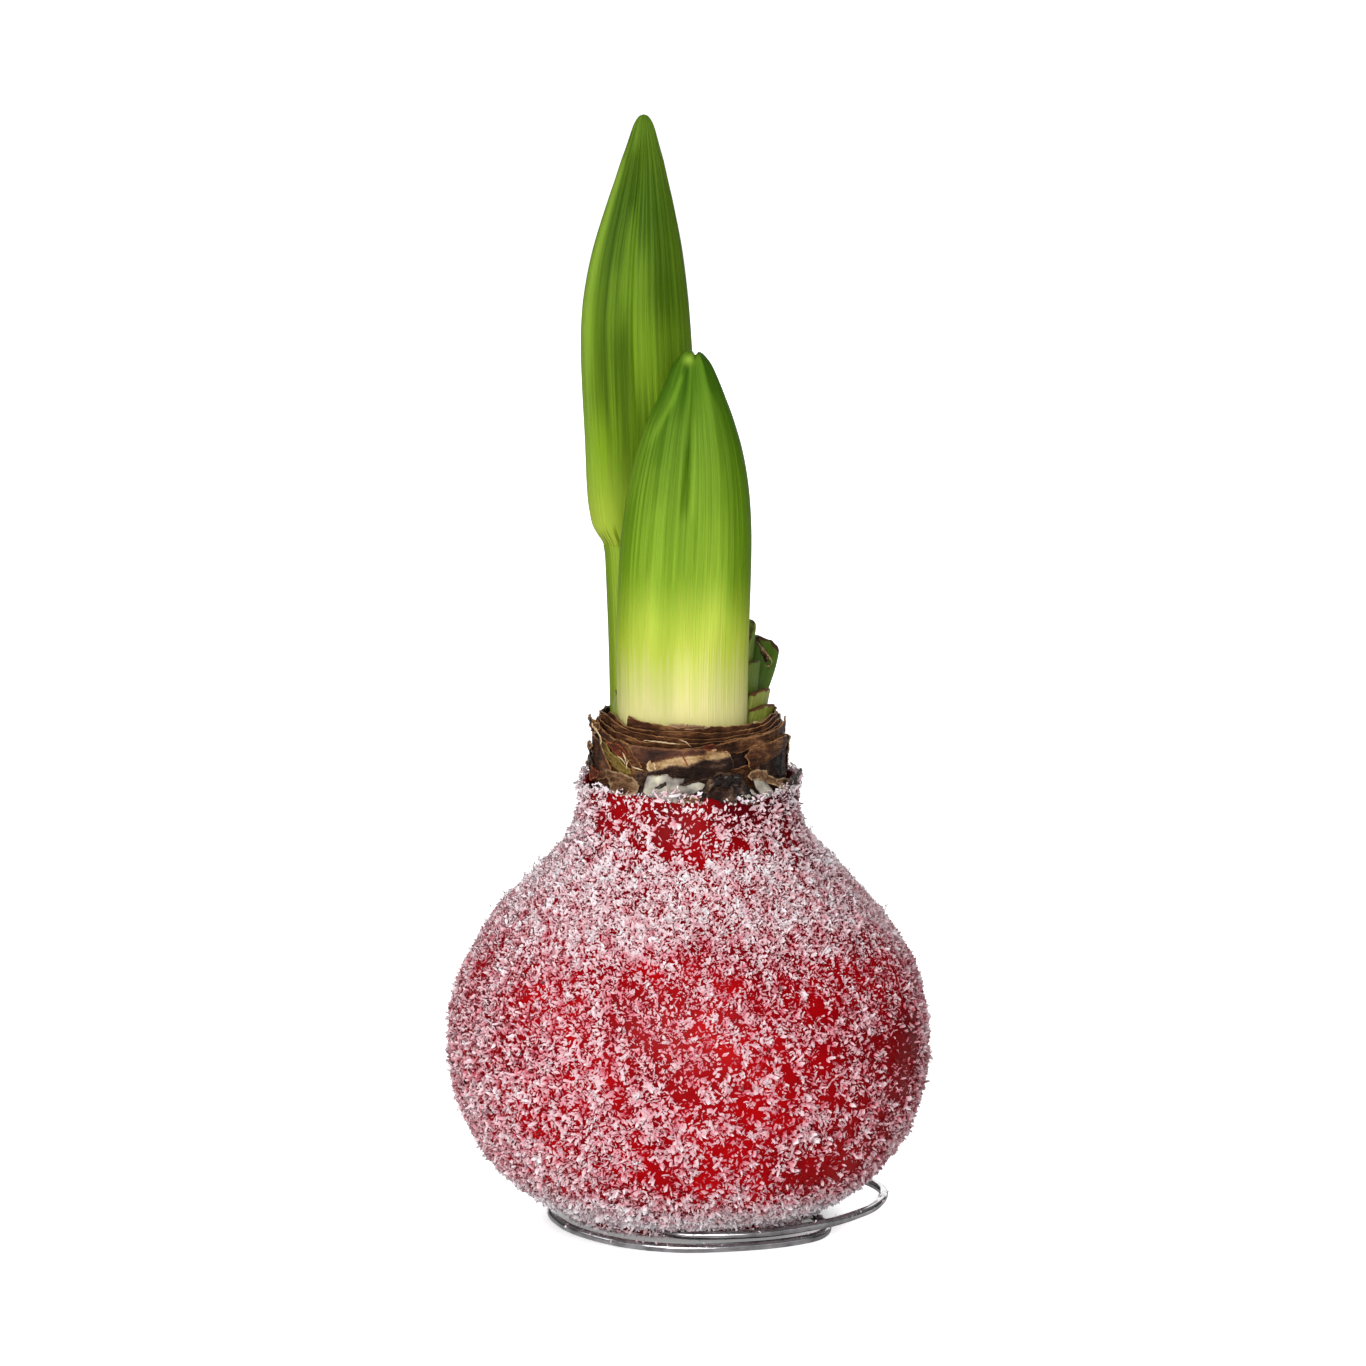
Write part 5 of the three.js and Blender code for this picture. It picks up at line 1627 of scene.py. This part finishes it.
NECK_FACE = 100.1
SECTION = [(0, 0), (0.42, 0), (0.38, 0.8), (0.21, 1), (0.04, 0.8)]  # outward, share of the height
CORNERS = len(SECTION)
strips = []
for number, radius in enumerate(np.arange(4.0, 16.4, 0.95)):
    steps = int(radius * 14)
    turn = np.linspace(-np.pi, np.pi, steps, endpoint=False)
    inner, outer = around(radius, turn, 0.0), around(radius + 0.5, turn, 0.0)
    free = clear_of_stalks(inner) & clear_of_stalks(outer)
    height = 0.65 + 0.35 * ripple(inner, 6, 400 + number)
    for i in np.flatnonzero(free & np.roll(free, -1)):
        j = (i + 1) % steps
        ends = [(turn[k], height[k]) for k in (i, j)]
        foot = NECK_FACE + 0.05
        strips.append([(radius + r, at, foot + up * h) for at, up in ends for r, h in SECTION])
strips = np.array(strips)
points = around(strips[..., 0], strips[..., 1], strips[..., 2]).reshape(-1, 3)
faces = []
for i in range(len(strips)):
    a, b = 2 * i * CORNERS, (2 * i + 1) * CORNERS
    faces += [[a + k, a + k + 1, b + k + 1, b + k] for k in range(1, CORNERS - 1)]
    faces.append([a + CORNERS - 1, a, b, b + CORNERS - 1])
rim_pale = paper_material("scale_edges", (70, 48, 24), (140, 122, 62), (196, 184, 112),
    (0.5, 0.75), 0.2)
piece = make_piece("neck_scale_edges", points, faces, rim_pale, slot="pale_scale")
give(piece, "edge", (points[:, 2] - NECK_FACE) / 1.2)
give(piece, "grain", points * (0.6, 0.6, 0.6))

# %% [markdown]
# ## Wax blobs and char at the rim
#
# Where the dip ended, clear wax ran on to the paper and set in whitish lumps, and one flap
# is burnt black. Each lump is a patch bent round the neck and swollen in the middle.

# %% Lumps of clear wax


def lump(outline, radius, seed, height):
    """A swollen patch that is closed behind."""
    vertices, faces, edge, flat = scrap(outline, radius, seed, step=0.3, ragged=0.05, lift=0,
        wave=0.05, drape=1.7)
    border_off = -EDGE_REACH * np.log(np.clip(edge, 1e-6, 1))
    swell = height * (1 - np.exp(-border_off / 0.7)) * (0.75 + 0.3 * ripple(flat, 1.6, seed + 5))
    outward = vertices * (1, 1, 0)
    outward /= np.linalg.norm(outward, axis=1)[:, None]
    return vertices + outward * swell[:, None], faces, edge, flat


CLOUDY = [(0.15, (92, 88, 86)), (0.45, (152, 144, 134)), (0.75, (190, 182, 164)),
    (1.0, (218, 208, 182))]
clear_wax = mottled_material("clear_wax", 260.0, CLOUDY, (0.25, 0.5), 0.15, Coat_Weight=0.1,
    Specular_IOR_Level=0.4, Subsurface_Weight=0.2, Subsurface_Scale=0.002)
join_scraps("clear_wax_lumps", [
    lump([(-116.5, 90.6), (-115.5, 91.7), (-114, 92.3), (-109.2, 92.4), (-102.7, 92.8),
        (-99.9, 92.1), (-92.9, 91.9), (-93.7, 91.1), (-95.4, 90.8), (-95.4, 89.8), (-97.6, 88.6),
        (-99.9, 87.4), (-103.9, 87.8), (-106.8, 88.2), (-111, 88.3), (-115.9, 89.2)], 19.6, 501,
        0.7),
    lump([(-95.8, 90.8), (-93.1, 90.5), (-88.6, 91.1), (-84.2, 91.2), (-80.8, 90.8), (-82.5, 90.0),
        (-86.4, 89.5), (-90.9, 89.0), (-94.2, 88.2), (-97, 87.4), (-99.3, 87.6), (-98.1, 89.2)],
        19.7, 502, 0.6),
    lump([(-50.8, 91.1), (-43.8, 91.3), (-41.8, 90.0), (-40.5, 87.6), (-46.7, 87.3),
        (-50.4, 88.6)], 19.9, 503, 0.5),
    lump([(-62.2, 89.4), (-57.7, 89.9), (-54.3, 89.4), (-53.6, 88.0), (-59, 87.6)], 20.0, 504, 0.5),
    lump([(40, 90.6), (52, 91.4), (60, 89.8), (50, 88.0), (41, 88.4)], 20.1, 505, 0.6),
    lump([(128, 91.2), (142, 91.6), (146, 89.4), (134, 88.2)], 20.1, 506, 0.7),
], clear_wax, slot=None, thickness=0.5)  # fmt: skip

# %% Burnt flap and small scraps
ASH = [(0.0, (9, 4, 2)), (0.55, (32, 16, 8)), (1.0, (98, 72, 50))]
char = mottled_material("charred_paper", 330.0, ASH, (0.1, 0.35), 0.45, Coat_Weight=0.35,
    Specular_IOR_Level=0.2)
join_scraps("charred_flaps", [
    scrap([(-84.9, 87.8), (-82.1, 90.1), (-79.2, 91.8), (-74.3, 92.6), (-69.5, 93.1),
        (-63.8, 92.9), (-57.7, 91.5), (-56.1, 90.0), (-55.7, 88.6), (-52.2, 87.0), (-54.7, 86.5),
        (-61.4, 86.9), (-65.3, 88.2), (-66, 89.7), (-72.9, 90.5), (-77.2, 90.5), (-80.8, 89.3),
        (-83.7, 87.7)], 19.8, 601, lift=0.4, wave=0.2, drape=1.7,
        rolls=[((-82, 89.4), (-74, 91.6), 0.5, 0.9), ((-74, 91.6), (-62, 91.8), 0.6, 1.1),
        ((-62, 91.8), (-57, 88), 0.5, 1.0)]),
    scrap([(-110.6, 89.6), (-107, 90.6), (-103.4, 91.4), (-102.8, 90.6), (-106.2, 89.6),
        (-109, 89.0)], 20.35, 604, lift=0.1),
    scrap([(-28.3, 90.0), (-22, 90.6), (-15, 90.2), (-8, 90.6), (-3, 91.0), (-1, 90.0),
        (-1.1, 88.3), (-10.3, 88.2), (-25.1, 88.8)], 21.2, 603, lift=0.5, wave=0.2, tilt=0.4),
    scrap([(181, 91.2), (180, 92.9), (186, 95.0), (191, 94.0), (193.2, 91.7), (186, 90.8)], 19.65,
        605, lift=0.3, wave=0.2),
    scrap([(186, 100.6), (189.6, 102.1), (193.4, 101.4), (192, 100.2)], 19.8, 607, lift=0.2),
], char)  # fmt: skip
join_scraps("rim_scraps_back", [
    scrap([(16, 91.0), (28, 92.4), (40, 91.0), (36, 88.8), (20, 88.6)], 20.3, 611, lift=0.5,
        wave=0.2),
    scrap([(66, 92.0), (84, 93.0), (100, 91.0), (92, 88.4), (72, 88.4)], 20.4, 612, lift=0.5,
        wave=0.2),
    scrap([(112, 92.2), (122, 92.8), (128, 90.4), (118, 88.6)], 20.3, 613, lift=0.5, wave=0.2),
    scrap([(150, 91.4), (160, 92.6), (170, 91.6), (168, 88.8), (154, 88.6)], 20.2, 614, lift=0.5,
        wave=0.2),
], paper_tan)  # fmt: skip

# %% [markdown]
# ## Floor and light
#
# A plain white floor runs on past the edge of the view. The light is soft and comes mostly
# from wide boxes in front, so that the sides of the bulb and buds fall off and the bright
# lines along the wire are long. A wide box behind keeps the back from going black. The sky
# is darkest near the horizon, which draws the dark lines along the wire, apart from a low
# band in front.

# %% Floor
FLOOR_HALF = 14.0
floor_mesh = bpy.data.meshes.new("floor")
corners = [(x * FLOOR_HALF, y * FLOOR_HALF, 0) for x, y in ((-1, -1), (1, -1), (1, 1), (-1, 1))]
floor_mesh.from_pydata(corners, [], [(0, 1, 2, 3)])
floor = bpy.data.objects.new("floor", floor_mesh)
bpy.context.collection.objects.link(floor)
floor_white, nodes, shader = make_material("floor_white", Roughness=0.7, Specular_IOR_Level=0.1)
shader.inputs["Base Color"].default_value = (0.8, 0.8, 0.8, 1)
# To the camera alone the floor also glows white, dimmer within 24 to 34 mm of the middle: painted
# light that washes out its shadows except close under the bulb.
painted_floor_glow = place(nodes, "Emission", {"Color": (1, 1, 1, 1)})
seen = place(nodes, "LightPath").outputs["Is Camera Ray"]
away = place(nodes, "VectorMath", {0: spot_on(nodes)}, operation="LENGTH")
level = span(nodes, away.outputs["Value"], 0.024, 0.034, 0.25, 1.0)
nodes.links.new(math_node(nodes, "MULTIPLY", seen, level), painted_floor_glow.inputs["Strength"])
both = place(nodes, "AddShader", {0: shader.outputs[0], 1: painted_floor_glow.outputs[0]})
nodes.links.new(both.outputs[0], nodes.nodes["Material Output"].inputs["Surface"])
floor_mesh.materials.append(floor_white)
floor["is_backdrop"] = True

# %% Sky and soft boxes
sky = bpy.data.worlds.new("studio")
bpy.context.scene.world = sky
sky.use_nodes = True
nodes = sky.node_tree
way = place(nodes, "TexCoord").outputs["Generated"]
split = place(nodes, "SeparateXYZ", {"Vector": way}).outputs
above = split["Z"]
dome = span(nodes, above, 0.0, 0.8, 0.04, 0.26)
ahead = span(nodes, split["Y"], -0.35, -0.05, 1, 0)
band_foot, band_top = span(nodes, above, 0.08, 0.14), span(nodes, above, 0.26, 0.34, 1, 0)
low_band = math_node(nodes, "MULTIPLY", band_foot, band_top)
low_band = math_node(nodes, "MULTIPLY", math_node(nodes, "MULTIPLY", low_band, ahead), 0.8)
dome = math_node(nodes, "ADD", dome, low_band)
seen = place(nodes, "LightPath").outputs["Is Camera Ray"]
strength = math_node(nodes, "MAXIMUM", dome, seen)
nodes.links.new(strength, nodes.nodes["Background"].inputs["Strength"])
nodes.nodes["Background"].inputs["Color"].default_value = (1, 1, 1, 1)


MIDDLE = Vector((0, 0, 0.09))


def soft_box(name, at, wide, tall, watts):
    """A rectangular light that faces the middle of the object."""
    light = bpy.data.lights.new(name, "AREA")
    light.shape, light.size, light.size_y, light.energy = "RECTANGLE", wide, tall, watts
    box = bpy.data.objects.new(name, light)
    bpy.context.collection.objects.link(box)
    box.location = at
    box.rotation_euler = (MIDDLE - Vector(at)).to_track_quat("-Z", "Y").to_euler()


soft_box("front_light", (-0.42, -1.28, 0.6), 1.5, 0.6, 14)
soft_box("fill_light", (-0.1, -1.45, 0.26), 1.3, 0.4, 5)
soft_box("left_light", (-1.2, 0.1, 0.5), 0.5, 0.5, 1.1)
soft_box("top_light", (0.3, 0.05, 1.2), 0.6, 0.6, 1.5)
soft_box("back_light", (0.25, 1.5, 0.7), 1.4, 1.4, 9)
bpy.context.scene.view_settings.view_transform = "Standard"

# %% Measure and finish
looks_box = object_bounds()
for label, (low, high) in (("solids", cad_box), ("finished", looks_box)):
    print(label, [round((b - a) / MM, 1) for a, b in zip(low, high, strict=True)], "mm")
